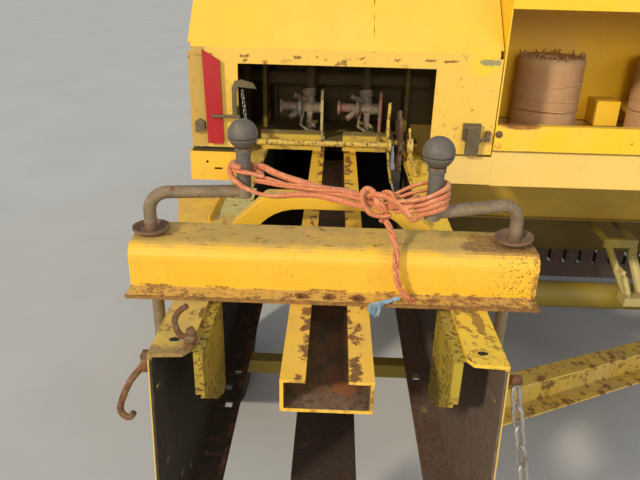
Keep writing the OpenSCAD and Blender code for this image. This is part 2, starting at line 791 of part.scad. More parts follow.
module pto_shaft() {
    joint = [0, pivot_y, shaft_z];
    front = [0, pivot_y + pto_run, shaft_z - pto_drop];
    stand_y = 1010;
    color("dimgray") at_machine() {
        translate(joint) sphere(d = 84);
        rod(joint, front, pto_tube_d);
        aim(front, front + (front - joint)) rotate([0, 90, 0]) difference() {
            cylinder(d = 60, h = pto_stub);
            translate([0, 0, pto_stub - pto_bore_len])
                cylinder(d = pto_bore_d, h = pto_bore_len + 1);
        }
        // Stand on the drawbar.
        block([-8, pivot_y + stand_y - 30, drawbar_z + drawbar_s / 2],
              [8, pivot_y + stand_y + 30, shaft_z - pto_drop * stand_y / pto_run]);
    }
}

jack_x = drawbar_s / 2 + jack_d / 2 + 10;
jack_wall = 5;
jack_low = 330;
jack_high = 880;
leg_top = 550;

module jack_tube() {
    color("firebrick") at_machine() translate([jack_x, pivot_y + jack_y, 0]) {
        difference() {
            bar_z(jack_low, jack_high, 0, 0, jack_d);
            bar_z(jack_low - 1, jack_high - 10, 0, 0, jack_d - 2 * jack_wall);
        }
        block([-jack_d / 2 - 10, -40, drawbar_z - 40], [jack_wall - jack_d / 2, 40, drawbar_z + 40]);
        bar_z(jack_high - 1, jack_high + 30, 0, 0, 20);
        block([0, -6, jack_high + 18], [150, 6, jack_high + 30]);
    }
}

module jack_leg() {
    color("silver") at_machine() translate([jack_x, pivot_y + jack_y, 0]) {
        cylinder(d = jack_foot, h = 10);
        bar_z(5, leg_top, 0, 0, jack_d - 2 * jack_wall - 2 * run_gap);
    }
}

// Feeder and pickup

pickup_tube_d = 60;
hanger_t = 12;
hanger_x = [pickup_x + 8, pickup_right - 20];

module feeder_housing() {
    top = feeder_floor + feeder_h;
    color("gold") at_machine() difference() {
        union() {
            difference() {
                along_x(half_w, feeder_right) polygon([
                    [feeder_y, feeder_floor], [feeder_end, feeder_floor], [feeder_end, top - 120],
                    [feeder_end - 120, top], [feeder_y, top]]);
                along_x(half_w - 1, feeder_right - feeder_t) polygon([
                    [feeder_y + feeder_t, feeder_floor + feeder_t],
                    [feeder_end + 1, feeder_floor + feeder_t],
                    [feeder_end + 1, top - 122], [feeder_end - 122, top - feeder_t],
                    [feeder_y + feeder_t, top - feeder_t]]);
            }
            // Folded foot edge and upright ribs of the rear wall.
            block([half_w, feeder_y - 14, feeder_floor], [feeder_right, feeder_y + 1, feeder_floor + 6]);
            for (x = [box_x + box_w + 60 : 180 : feeder_right - 20])
                block([x, feeder_y - 12, feeder_floor], [x + 30, feeder_y + 1, top]);
            for (x = hanger_x) along_x(x, x + hanger_t) polygon([
                [feeder_end - 110, feeder_floor + 1], [feeder_end - 32, feeder_floor + 1],
                [pickup_pivot_y + 20, pickup_pivot_z + 42], [pickup_pivot_y + 42, pickup_pivot_z],
                [pickup_pivot_y + 20, pickup_pivot_z - 42], [pickup_pivot_y - 20, pickup_pivot_z - 42]]);
        }
        bar_x(half_w, feeder_right, pickup_pivot_y, pickup_pivot_z, pickup_tube_d + 2 * run_gap);
    }
}

module feeder_fingers() {
    y = (feed_y0 + feed_y1) / 2;
    z = feeder_floor + feeder_h - 90;
    step = (feeder_right - half_w) / 4;
    color("silver") at_machine() {
        bar_x(half_w + 60, feeder_right - feeder_t, y, z, 60);
        for (i = [1 : 3]) along_x(half_w + i * step - 8, half_w + i * step + 8) polygon([
            [y - 30, z], [y + 30, z], [y + 20, z - 180], [y - 20, z - 300], [y - 40, z - 300],
            [y - 20, z - 180]]);
    }
}

module twine_box() {
    x1 = box_x + box_w;
    top = box_foot + box_h;
    sill = box_foot + box_wall;
    color("gold") at_machine() {
        difference() {
            block([box_x, hood_y, box_foot], [x1, feeder_y, top]);
            block([box_x + box_t, hood_y + box_t, box_foot + box_t],
                  [x1 - box_t, feeder_y - box_t, top - box_t]);
            block([box_x + box_t, hood_y - 1, sill], [x1 - 60, hood_y + box_t + 1, top - 65]);
        }
        // Upper band over the lower wall, rolled sill and rail over the opening.
        block([box_x, hood_y - 4, sill - 74], [x1, hood_y, sill]);
        block([box_x, hood_y - 4, sill - 4], [x1 - 60, hood_y + 22, sill]);
        block([box_x, hood_y - 4, top - 65], [x1, hood_y, top - 40]);
        // Partition between the balls.
        block([box_x + 408, hood_y + 345, box_foot + box_t - 1],
              [box_x + 482, feeder_y - box_t + 1, sill + 8]);
    }
}

module twine_balls() {
    r = ball_d / 2;
    color("tan") at_machine() for (x = [223, 596, 850])
        translate([box_x + x, feeder_y - box_t - r - 26, box_foot + box_t]) rotate_extrude() polygon([
            [20, 0], [r - 6, 0], [r, 8], [r, ball_h / 2 - 5], [r - 5, ball_h / 2], [r, ball_h / 2 + 5],
            [r, ball_h - 12], [r - 6, ball_h - 3], [r - 30, ball_h], [26, ball_h - 4], [20, ball_h - 40]]);
}

reel_shaft_d = 40;
gauge_y = reel_y - 60;
rear_sheet_y = reel_y - reel_r - 20;

module pickup_frame() {
    color("gold") at_machine() difference() {
        union() {
            for (x = [pickup_x - side_plate_t, pickup_right]) along_x(x, x + side_plate_t) polygon([
                [rear_sheet_y, pickup_pivot_z - 212], [rear_sheet_y, pickup_pivot_z + 20],
                [pickup_pivot_y - 38, pickup_pivot_z + 60],
                [reel_y - 60, pickup_pivot_z + 150], [reel_y + 90, reel_z + 230],
                [reel_y + 205, reel_z + 120], [reel_y + 225, reel_z - 20],
                [reel_y + 150, reel_z - 160], [reel_y, reel_z - stripper_r - 12],
                [reel_y - 215, reel_z - stripper_r - 12]]);
            // Pivot stubs, and the sheet that closes the rear between the side plates.
            bar_x(pickup_x - side_plate_t, hanger_x[0] + hanger_t + 4,
                  pickup_pivot_y, pickup_pivot_z, pickup_tube_d);
            bar_x(hanger_x[1] - 4, pickup_right + side_plate_t,
                  pickup_pivot_y, pickup_pivot_z, pickup_tube_d);
            block([pickup_x - 1, rear_sheet_y, pickup_pivot_z - 210],
                  [pickup_right + 1, rear_sheet_y + 4, pickup_pivot_z - 56]);
            block([pickup_x - 1, rear_sheet_y, pickup_pivot_z - 212],
                  [pickup_right + 1, rear_sheet_y + 20, pickup_pivot_z - 208]);
            bar_x(pickup_right, gauge_x + gauge_stub, gauge_y, gauge_d / 2, 30);
            block([pickup_right + side_plate_t - 1, gauge_y - 20, gauge_d / 2 - 15],
                  [pickup_right + side_plate_t + 12, gauge_y + 20, reel_z]);
        }
        for (x = [pickup_x - side_plate_t, pickup_right])
            bar_x(x - 1, x + side_plate_t + 1, reel_y, reel_z, reel_shaft_d + 2 * run_gap);
    }
}

stripper_t = 4;
stripper_step = pickup_w / stripper_count;

module strippers() {
    r = stripper_r;
    t = stripper_t;
    rear = reel_y - pickup_pivot_y;
    low_rear = rear;
    low = reel_z - r;
    color("gold") at_machine() {
        for (i = [0 : stripper_count - 1]) {
            x = pickup_x + (i + 0.5) * stripper_step - stripper_w / 2;
            translate([x, reel_y, reel_z]) rotate([90, 0, 90]) linear_extrude(stripper_w) {
                difference() {
                    circle(r, $fn = 72);
                    circle(r - t, $fn = 72);
                    translate([-2 * r, -r - 1]) square([2 * r, 2 * r + 2]);
                }
                translate([-rear, r - t]) square([rear + 1, t]);
                translate([-low_rear, -r]) square([low_rear + 1, t]);
                translate([-low_rear, -r]) square([t, 175]);
                translate([-low_rear - 14, 171 - r]) square([15, t]);
            }
        }
        block([hanger_x[0] + hanger_t + 6, pickup_pivot_y - 4, pickup_pivot_z + pickup_tube_d / 2 + seat_gap],
              [hanger_x[1] - 6, pickup_pivot_y + 4, reel_z + r - t + 1]);
        block([pickup_x, pickup_pivot_y, low], [pickup_right, pickup_pivot_y + t, low + 76]);
    }
}

module windguard() {
    bar = [reel_y + 60, reel_z + 420];
    foot = [reel_y - 60, reel_z + 240];
    out = side_plate_t + 6;
    color("gold") at_machine() {
        bar_x(pickup_x - out, pickup_right + out, bar[0], bar[1], 42);
        for (x = [pickup_x - out, pickup_right + side_plate_t]) along_x(x, x + 6) polygon([
            [foot[0] - 25, foot[1] - 15], [foot[0] + 25, foot[1] - 15],
            [bar[0] + 20, bar[1]], [bar[0] - 20, bar[1]]]);
        for (i = [1 : 2 : stripper_count - 1])
            bent_bar([[pickup_x + i * stripper_step, bar[0], bar[1]],
                      [pickup_x + i * stripper_step, bar[0] - 130, bar[1] - 5],
                      [pickup_x + i * stripper_step, bar[0] - 300, bar[1] - 60]], 8);
    }
}

module pickup_reel() {
    color("slategray") at_machine() {
        bar_x(pickup_x - side_plate_t, pickup_right + side_plate_t, reel_y, reel_z, reel_shaft_d);
        for (b = [0 : tine_bars - 1]) translate([0, reel_y, reel_z]) rotate([b * 360 / tine_bars, 0, 0]) {
            bar_x(pickup_x + 10, pickup_right - 10, 150, 0, 30);
            for (i = [1 : stripper_count - 1])
                bar_y(140, reel_r, pickup_x + i * stripper_step, 0, 7);
        }
        for (x = [pickup_x + 20, pickup_right - 26])
            bar_x(x, x + 6, reel_y, reel_z, 350);
    }
}

module gauge_wheel() {
    color("dimgray") at_machine() translate([gauge_x, gauge_y, gauge_d / 2])
        rotate([0, 90, 0]) rotate_extrude() polygon([
            [15 + run_gap, -40], [30, -40], [30, -6], [gauge_d / 2 - 50, -6],
            [gauge_d / 2 - 50, -gauge_w / 2], [gauge_d / 2 - 12, -gauge_w / 2],
            [gauge_d / 2, 12 - gauge_w / 2], [gauge_d / 2, gauge_w / 2 - 12],
            [gauge_d / 2 - 12, gauge_w / 2], [gauge_d / 2 - 50, gauge_w / 2],
            [gauge_d / 2 - 50, 6], [30, 6], [30, 40], [15 + run_gap, 40]]);
}

// Knotters and hood

knot_z = chamber_top + 160;
knot_base_y = 1120;
knot_plate_t = 10;
meter_x = 182;
meter_y = 1020;
meter_z = chamber_top + 40;
meter_pin_d = 20;

module knotter_frame() {
    base = chamber_top + knot_plate_t;
    color("gold") at_machine() {
        difference() {
            block([-half_w, knot_base_y, chamber_top], [half_w, rear_len + 60, base]);
            for (x = knot_x) block([x - 20, 1240, chamber_top - 1], [x + 20, 1390, base + 1]);
        }
        difference() {
            for (side = [-1, 1])
                block([side * 225 - 6, knot_y - 60, base - 1], [side * 225 + 6, knot_y + 60, knot_z + 50]);
            bar_x(-300, 300, knot_y, knot_z, knot_shaft_d + 2 * seat_gap);
        }
        // Breastplates over the chamber's mouth, left and right of the twine guide.
        for (p = [[-213, -39], [24, 150]]) {
            block([p[0], 1050, chamber_top], [p[1], knot_base_y + 1, base]);
            block([p[0], 1050, chamber_top], [p[1], 1056, chamber_top + 57]);
            for (k = [0 : 2]) block([p[0] + 8 + k * (p[1] - p[0] - 24) / 2, 1050, base - 1],
                                    [p[0] + 16 + k * (p[1] - p[0] - 24) / 2, 1086, chamber_top + 40]);
        }
        // Arm and pin of the metering wheel.
        block([156, meter_y - 20, base + 2], [164, knot_base_y + 60, meter_z + 20]);
        block([156, knot_base_y, base - 1], [164, knot_base_y + 60, meter_z]);
        bar_x(156, 198, meter_y, meter_z, meter_pin_d);
    }
}

module knotters() {
    base = chamber_top + knot_plate_t;
    top = chamber_top;
    color("dimgray") at_machine() for (x = knot_x) {
        // Upright bar of the knotter's frame with its foot.
        block([x + 34, 1140, base], [x + 42, 1168, top + 156]);
        block([x + 28, 1140, base], [x + 48, 1196, base + 8]);
        block([x - 8, 1172, base], [x + 8, 1200, top + 100]);
        bar_x(x - 30, x + 36, 1186, top + 96, 34);
        // Twine disc, its drum and the cleaner.
        bar_x(x - 86, x - 30, 1186, top + 98, 28);
        bar_x(x - 90, x - 82, 1186, top + 98, 44);
        bar_x(x - 34, x - 26, 1186, top + 96, 60);
        rod([x - 60, 1160, top + 70], [x - 28, 1180, top + 92], 18);
        // Boss and gear of the bill hook.
        rod([x + 8, 1186, top + 92], [x - 4, 1204, top + 140], 30);
        rod([x - 2, 1200, top + 128], [x - 5, 1206, top + 148], 42);
        rod([x - 50, 1190, top + 132], [x, 1196, top + 112], 16);
        // Bill hook, knife arm and stripper.
        bent_bar([[x + 6, 1180, top + 86], [x + 2, 1150, top + 60], [x + 18, 1132, top + 50]], 10);
        bent_bar([[x - 20, 1180, top + 84], [x - 26, 1140, top + 52], [x - 2, 1128, top + 38],
                  [x + 20, 1132, top + 36]], 8);
    }
}

module knotter_drive() {
    color("dimgray") at_machine() {
        bar_x(-300, 300, knot_y, knot_z, knot_shaft_d);
        for (x = knot_x) {
            bar_x(x - 10, x + 10, knot_y, knot_z, 160);
            bar_x(x - 18, x + 18, knot_y, knot_z, 80);
        }
        // Drive lever and cam at the left end of the shaft.
        bar_x(-290, -272, knot_y, knot_z, 130);
    }
}

needle_y = knot_y + 435;
needle_z = chamber_foot - 30;
needle_r = 420;

module needles() {
    color("dimgray") at_machine() {
        for (x = knot_x) translate([x - 8, needle_y, needle_z]) rotate([90, 0, 90])
            linear_extrude(16) difference() {
                circle(needle_r, $fn = 72);
                circle(needle_r - 40, $fn = 72);
                translate([-needle_r - 1, 0]) square([2 * needle_r + 2, needle_r + 10]);
                translate([-200, -needle_r - 1]) square([2 * needle_r, 2 * needle_r]);
            }
        bar_x(-240, 240, needle_y - 200, needle_z - 346, 50);
        for (x = [-240, 230]) along_x(x, x + 10) polygon([
            [needle_y - 225, needle_z - 350], [needle_y - 175, needle_z - 350],
            [needle_y + 30, chamber_foot], [needle_y - 30, chamber_foot]]);
    }
}

hinge_knuckles = [[-300, -240], [-120, -60], [60, 120]];
hood_knuckles = [[-232, -172], [128, 188]];

module hood_hinge_rail() {
    base = chamber_top + knot_plate_t;
    rail_top = chamber_top + hinge_rise;
    color("gold") at_machine() {
        for (x = [-240, 220]) block([x, hood_end + 6, base], [x + 20, hood_end + 26, rail_top]);
        block([-hood_left + 60, hood_end + 6, rail_top - 20], [half_w - 10, hood_end + 26, rail_top]);
        bar_x(hinge_knuckles[0][0], 196, hinge_y, hinge_z, hinge_pin_d);
        for (k = hinge_knuckles) {
            bar_x(k[0], k[1], hinge_y, hinge_z, 24);
            block([k[0], hinge_y - 6, rail_top - 1], [k[1], hinge_y + 6, hinge_z]);
        }
    }
}

module hood_shell() {
    foot_z = chamber_top + hinge_rise;
    bend_z = hood_foot + hood_rear_h;
    module outline(t, low) {
        polygon([
            [hood_y + t, hood_foot - low], [hood_y + t, bend_z - t / 2],
            [hood_y + hood_slope_run + t / 2, hood_top - t], [hood_end - t, hood_top - t],
            [hood_end - t, foot_z - low], [hood_end - 40 + low, foot_z - low],
            [hood_end - 40 + low, hood_foot - low]]);
    }
    color("gold") at_machine() difference() {
        union() {
            difference() {
                along_x(-hood_left, hood_right) outline(0, 0);
                along_x(hood_t - hood_left, hood_right - hood_t) outline(hood_t, 1);
                block([-notch_w / 2, hood_y - 1, hood_foot - 1],
                      [notch_w / 2, hood_y + hood_t + 1, chamber_top + notch_top]);
            }
            // Edge lips, cut back at the bend.
            for (x = [-hood_left - 9, hood_right - 1]) along_x(x, x + 10) {
                translate([hood_y, hood_foot]) square([3, hood_rear_h - 12]);
                polygon([
                    [hood_y + 10, bend_z + 10], [hood_y + hood_slope_run, hood_top],
                    [hood_y + hood_slope_run + 3, hood_top - 2], [hood_y + 12, bend_z + 7]]);
            }
            for (k = hood_knuckles) {
                bar_x(k[0], k[1], hinge_y, hinge_z, 24);
                block([k[0], hood_end - 1, hinge_z - 3], [k[1], hinge_y, hinge_z + 3]);
            }
        }
        for (k = hood_knuckles) bar_x(k[0] - 1, k[1] + 1, hinge_y, hinge_z, hinge_pin_d + 2 * run_gap);
    }
}

module hood_latches() {
    top = chamber_top;
    color("saddlebrown") at_machine() {
        // Hook at the notch's left edge, with its pin.
        along_y(hood_y - 22, hood_y - 14) polygon([
            [-280, top + 106], [-280, top + 190], [-272, top + 206], [-254, top + 211],
            [-222, top + 202], [-214, top + 188], [-240, top + 190], [-262, top + 192],
            [-268, top + 176], [-268, top + 106]]);
        bar_x(-336, -260, hood_y - 19, top + 111, 9);
        block([-280, hood_y - 15, top + 112], [-266, hood_y, top + 136]);
        // Latch at the left edge.
        along_y(hood_y - 12, hood_y) polygon([
            [-386, top + 62], [-360, top + 70], [-360, top + 92], [-374, top + 100], [-386, top + 92]]);
        // Strap latch at the right edge.
        block([352, hood_y - 10, top + 62], [400, hood_y, top + 108]);
        block([362, hood_y - 22, top + 22], [398, hood_y - 9, top + 98]);
        rod([356, hood_y - 16, top + 96], [396, hood_y - 16, top + 100], 9);
        rod([398, hood_y - 16, top + 60], [424, hood_y - 10, top + 74], 8);
        block([415, hood_y - 14, top + 60], [428, hood_y, top + 88]);
    }
}

module reflector_plate() {
    top = chamber_top;
    color("firebrick") at_machine() {
        along_y(hood_y - 13, hood_y - 10) polygon([
            [-358, top + 286], [-313, top + 259], [-309, top + 31], [-352, top + 33]]);
        // Folded edge and foot that stand it off the hood.
        along_y(hood_y - 13, hood_y) polygon([
            [-316, top + 256], [-313, top + 254], [-309, top + 36], [-312, top + 36]]);
        along_y(hood_y - 13, hood_y) polygon([
            [-351, top + 37], [-312, top + 35], [-312, top + 40], [-351, top + 42]]);
    }
}

module metering_wheel() {
    r = meter_d / 2;
    teeth = 12;
    color("gray") at_machine() translate([meter_x - 4, meter_y, meter_z]) rotate([90, 0, 90]) difference() {
        union() {
            linear_extrude(8) polygon([for (i = [0 : 2 * teeth - 1])
                (i % 2 == 0 ? r : r - 20) * [cos(i * 180 / teeth), sin(i * 180 / teeth)]]);
            cylinder(d = 44, h = 14);
        }
        translate([0, 0, -1]) cylinder(d = meter_pin_d + 2 * run_gap, h = 20);
    }
}

guide_y = 970;
guide_z = chamber_top + 42;

module twine_guide() {
    top = chamber_top;
    color("gold") at_machine() {
        bar_x(-215, 158, guide_y, guide_z, guide_d);
        for (x = [-190, 120]) block([x, guide_y, guide_z - 8], [x + 6, 1050, guide_z + 8]);
        // Hub and lever at the right end.
        bar_x(200, 216, guide_y, guide_z, 44);
        along_x(204, 210) polygon([
            [guide_y - 14, top], [guide_y + 16, top], [guide_y + 30, top + 86],
            [guide_y + 8, top + 90], [guide_y - 16, guide_z]]);
        bent_bar([[206, guide_y, guide_z], [208, guide_y - 70, top + 22], [210, guide_y - 150, top + 8]], 11);
        // Curved measuring arm.
        bar_x(146, 156, guide_y, guide_z, 34);
        bent_bar([[150, 1000, top + 154], [148, 996, top + 100], [150, 990, top + 42],
                  [156, 984, top - 20], [166, 980, top - 70]], 9);
        block([146, guide_y, guide_z - 5], [154, 994, guide_z + 5]);
    }
}

// Twine between the crank handles

handle_left = [crank_arm * cos(swing_left) - crank_span / 2, crank_y - crank_arm * sin(swing_left), 0];
handle_right = [crank_span / 2 - crank_arm * cos(swing_right), crank_y - crank_arm * sin(swing_right), 0];
loop_in = sleeve_d / 2 + seat_gap;
loop_low = crank_top + crank_d / 2 + 2;
loop_h = 26;
knot_at = [73, 214, chamber_top + 148];

module lashing_twine() {
    top = chamber_top;
    near = loop_in + lash_d / 2 + 5;
    color("coral") at_machine() cord([
        handle_left + [near * 0.9, -near * 0.5, loop_low + 13], [-108, 238, top + 176], [-80, 232, top + 172],
        [-50, 230, top + 169], [-20, 228, top + 166], [10, 226, top + 164], [36, 222, top + 160],
        [56, 217, top + 154], knot_at, [92, 207, top + 150], [110, 201, top + 156],
        handle_right + [-near, 0, loop_low + 10]], lash_d, [0, 0, 1]);
}

// Wraps on both handles and the knot.
module twine_loops() {
    color("coral") at_machine() {
        for (h = [handle_left, handle_right]) translate(h + [0, 0, loop_low]) rotate_extrude() polygon([
            [loop_in, 0], [loop_in + 8, 1], [loop_in + 10, 4], [loop_in + 8, 7], [loop_in + 11, 10],
            [loop_in + 9, 13], [loop_in + 12, 17], [loop_in + 9, 21], [loop_in + 8, loop_h], [loop_in, loop_h]]);
        translate(knot_at) rotate([0, 12, -18]) rotate([0, 90, 0]) translate([0, 0, -10])
            rotate_extrude() polygon([
                [lash_d / 2 + 1.3, 0], [lash_d / 2 + 8, 1], [lash_d / 2 + 12, 6], [lash_d / 2 + 10, 10],
                [lash_d / 2 + 12, 14], [lash_d / 2 + 8, 20], [lash_d / 2 + 1.3, 20]]);
    }
}

module twine_tail() {
    top = chamber_top;
    color("coral") at_machine() cord([
        knot_at + [3, -4, -17], [82, 203, top + 116], [94, 190, top + 99], [101, 176, top + 84],
        [105, 168, top + 64], [110, 166, top + 42], [117, 165, top + 24], [126, 160, top + 13]],
        tail_d, [0, 1, 0.3]);
}

module blue_tie() {
    top = chamber_top + beam_t + tie_d / 2 - 0.4;
    color("lightblue") at_machine() cord([
        [112, 160, top + 3], [102, 158, top + 1], [92, 152, top + 1], [80, 146, top], [72, 141, top - 7]],
        tie_d, [0, 0, 1]);
}

chamber_side_left();
chamber_side_right();
plunger_housing();
plunger_block();
top_rail();
bottom_rail();
chamber_frame();
beam_upper();
beam_lower();
crank_left();
crank_right();
arch_bridge();
side_wedges();
wall_hooks();
side_chain();
left_ledge();
tail_panel();
axle();
axle_saddles();
axle_brace();
lift_springs();
front_frame();
gearbox();
feeder_housing();
feeder_fingers();
twine_box();
twine_balls();
knotter_frame();
knotters();
knotter_drive();
needles();
twine_guide();
hood_hinge_rail();
hood_shell();
hood_latches();
reflector_plate();
tyre_left();
rim_left();
tyre_right();
rim_right();
metering_wheel();
flywheel();
drawbar();
pto_shaft();
jack_tube();
jack_leg();
pickup_frame();
strippers();
windguard();
pickup_reel();
gauge_wheel();
lashing_twine();
twine_loops();
twine_tail();
blue_tie();
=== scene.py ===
"""Dressed scene of the square baler: finishes, twine, small parts, floor, light and camera.

Lengths are metres in the CAD frame. Places given through at(), across() and from_end() are in
machine millimetres.
"""
import math
import random

import bmesh
import bpy
from mathutils import Matrix, Vector


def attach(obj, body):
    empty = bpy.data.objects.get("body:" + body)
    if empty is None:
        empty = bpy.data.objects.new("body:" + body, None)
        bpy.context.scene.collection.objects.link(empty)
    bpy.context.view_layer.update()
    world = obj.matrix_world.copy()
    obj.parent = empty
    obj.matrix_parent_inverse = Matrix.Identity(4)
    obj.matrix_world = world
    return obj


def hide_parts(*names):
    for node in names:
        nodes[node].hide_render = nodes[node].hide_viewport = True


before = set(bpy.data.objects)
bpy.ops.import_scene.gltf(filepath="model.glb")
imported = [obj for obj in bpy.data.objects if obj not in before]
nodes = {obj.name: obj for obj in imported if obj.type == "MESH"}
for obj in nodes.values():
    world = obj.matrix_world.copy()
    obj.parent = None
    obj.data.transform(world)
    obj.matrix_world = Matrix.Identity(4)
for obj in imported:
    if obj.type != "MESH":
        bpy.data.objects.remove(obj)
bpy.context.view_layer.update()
scene = bpy.context.scene

MM = 1000           # millimetres in a metre
CENTRELINE = 810    # the chamber's centreline, millimetres to the left of the frame's middle
REAR_END = 2447     # the chamber's rear end, millimetres behind the frame's middle
CIRCLE = 2 * math.pi
YARN_SWELL = 0.15   # how far a yarn stands out of its strand, as a part of the radius


def at(x, s, z):
    """Machine millimetres (right of the centreline, ahead of the rear end, above the ground) as a point."""
    return Vector(((x - CENTRELINE) / MM, (s - REAR_END) / MM, z / MM))


def across(x):
    """The frame's x of a machine place right of the centreline."""
    return at(x, 0, 0).x


def from_end(s):
    """The frame's y of a machine place ahead of the rear end."""
    return at(0, s, 0).y


# ---- Camera ----
FOCAL_LENGTH = 34.80    # millimetres, solved from the photograph's straight edges
SENSOR_WIDTH = 36       # millimetres
camera_data = bpy.data.cameras.new("camera")
camera_data.lens = FOCAL_LENGTH
camera_data.sensor_width = SENSOR_WIDTH
camera_data.clip_start = 0.05
camera_data.clip_end = 200
camera = bpy.data.objects.new("camera", camera_data)
scene.collection.objects.link(camera)
# Columns: right, up, back, place.
camera.matrix_world = Matrix((
    (0.99930, -0.03345, 0.01674, -0.812),
    (0.02889, 0.40589, -0.91346, -3.156),
    (0.02376, 0.91331, 0.40658, 1.526),
    (0, 0, 0, 1)))
scene.camera = camera


# ---- Meshes ----
def side_frames(points, closed=False):
    """Two directions across the line at each point, carried along without twist."""
    side = None
    frames = []
    n = len(points)
    for i in range(n):
        after = points[(i + 1) % n] if closed else points[min(i + 1, n - 1)]
        before = points[i - 1] if closed else points[max(i - 1, 0)]
        ahead = (after - before).normalized()
        if side is None:
            up = Vector((0, 0, 1)) if abs(ahead.z) < 0.9 else Vector((0, 1, 0))
            side = ahead.cross(up).normalized()
        side = (side - ahead * side.dot(ahead)).normalized()
        frames.append((side, side.cross(ahead)))
    return frames


class Part:
    """Collects simple forms in one mesh, in the CAD frame, and becomes one piece."""

    def __init__(self):
        self.bm = bmesh.new()

    def skin(self, rings, closed=False):
        """Faces from ring to ring, and over both ends unless the row of rings is closed."""
        sides = len(rings[0])
        for a, b in zip(rings, rings[1:] + rings[:1] if closed else rings[1:]):
            for k in range(sides):
                self.bm.faces.new((a[k], a[(k + 1) % sides], b[(k + 1) % sides], b[k]))
        if not closed:
            self.bm.faces.new(rings[0][::-1])
            self.bm.faces.new(rings[-1])

    def tube(self, points, radius, sides=8, flat=1.0, turn=0.0, closed=False, lobes=0, lay=0.20):
        """Tube along points. radius is a number or a function of 0..1; lay turns the lobes at each ring."""
        rings = []
        for i, (p, (side, over)) in enumerate(zip(points, side_frames(points, closed))):
            r = radius(i / max(len(points) - 1, 1)) if callable(radius) else radius
            c, d = math.cos(turn * i), math.sin(turn * i)
            ring = []
            for k in range(sides):
                a = CIRCLE * k / sides
                swell = 1 + YARN_SWELL * math.cos(lobes * (a + lay * i)) if lobes else 1
                u, v = math.cos(a) * r * swell, math.sin(a) * r * flat * swell
                ring.append(self.bm.verts.new(p + side * (u * c - v * d) + over * (u * d + v * c)))
            rings.append(ring)
        self.skin(rings, closed)

    def spun(self, origin, axis, profile, sides=16):
        """Solid turned about axis from (radius, height) pairs, closed at both ends."""
        axis = axis.normalized()
        side = axis.orthogonal().normalized()
        over = axis.cross(side)
        self.skin([[self.bm.verts.new(origin + axis * h + side * (r * math.cos(CIRCLE * k / sides))
                                      + over * (r * math.sin(CIRCLE * k / sides))) for k in range(sides)]
                   for r, h in profile])

    def bolt(self, origin, axis, size):
        """Hexagon head on a washer. size is the width across the corners."""
        self.spun(origin, axis, [(size * 0.78, -0.001), (size * 0.78, 0.0012), (size * 0.7, 0.002),
                                 (size * 0.3, 0.002)])
        self.spun(origin, axis, [(size / 2, 0.002), (size / 2, size * 0.36), (size * 0.43, size * 0.43),
                                 (size * 0.2, size * 0.44)], 6)

    def slab(self, corners, depth):
        """Plate between a loop of corners and the same loop moved by depth."""
        low = [self.bm.verts.new(c) for c in corners]
        high = [self.bm.verts.new(c + depth) for c in corners]
        n = len(corners)
        self.bm.faces.new(low[::-1])
        self.bm.faces.new(high)
        for k in range(n):
            self.bm.faces.new((low[k], low[(k + 1) % n], high[(k + 1) % n], high[k]))

    def piece(self, name, finish, body, slot, smooth=True, bevel=0.0):
        """The mesh as an object that rides on body, with its finish; slot is not used."""
        bmesh.ops.recalc_face_normals(self.bm, faces=self.bm.faces[:])
        if bevel:
            bmesh.ops.bevel(self.bm, geom=self.bm.edges[:], offset=bevel, segments=1, affect="EDGES")
        mesh = bpy.data.meshes.new(name)
        self.bm.to_mesh(mesh)
        self.bm.free()
        mesh.polygons.foreach_set("use_smooth", [smooth] * len(mesh.polygons))
        obj = bpy.data.objects.new(name, mesh)
        scene.collection.objects.link(obj)
        obj.data.materials.append(finish)
        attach(obj, body)
        return obj


def curve_through(points, step):
    """Points at about that step along a smooth curve through the given ones."""
    out = []
    n = len(points)
    for i in range(n - 1):
        p0, p1 = points[max(i - 1, 0)], points[i]
        p2, p3 = points[i + 1], points[min(i + 2, n - 1)]
        count = max(1, round((p2 - p1).length / step))
        for k in range(count):
            t = k / count
            out.append(0.5 * (2 * p1 + (p2 - p0) * t + (2 * p0 - 5 * p1 + 4 * p2 - p3) * t * t
                              + (3 * p1 - p0 - 3 * p2 + p3) * t ** 3))
    out.append(points[-1].copy())
    return out


def route(places, step):
    """Points at about that step along a smooth curve through machine places."""
    return curve_through([at(*p) for p in places], step)


def length_of(points):
    """Length of the line through points."""
    return sum((b - a).length for a, b in zip(points, points[1:]))


def laid_strands(part, points, bundle, strand, count, turns, seed):
    """Strands laid round a line: bundle is the radius of their circle, strand their own radius."""
    rnd = random.Random(seed)
    frames = side_frames(points)
    n = len(points)
    for j in range(count):
        a0 = CIRCLE * j / count + rnd.uniform(-0.25, 0.25)
        wave, shift = rnd.uniform(0.7, 1.6), rnd.uniform(0, 6)
        line = []
        for i, p in enumerate(points):
            t = i / (n - 1)
            a = a0 + CIRCLE * turns * t + 0.35 * math.sin(6.3 * wave * t + shift)
            r = bundle * (1 + 0.10 * math.sin(11 * t * wave + shift))
            side, over = frames[i]
            line.append(p + side * (r * math.cos(a)) + over * (r * math.sin(a)))
        part.tube(line, strand * rnd.uniform(0.92, 1.06), 12, flat=0.78, turn=0.05, lobes=4)


# ---- Finishes ----
RUST = (0.125, 0.044, 0.015)
ORANGE_RUST = (0.30, 0.095, 0.022)
DARK_RUST = (0.040, 0.020, 0.012)
GREY_DIRT = (0.30, 0.215, 0.105)
BROWN_DIRT = (0.20, 0.125, 0.050)
PALE_SCUFF = (0.62, 0.50, 0.30)
HOLE_SHADE = (0.012, 0.009, 0.004)
SPOT_COLOURS = {"pale": PALE_SCUFF, "dark": DARK_RUST, "brown": BROWN_DIRT}
TO_SKY = (0, 0, 1)
TO_REAR = (0, -1, 0)


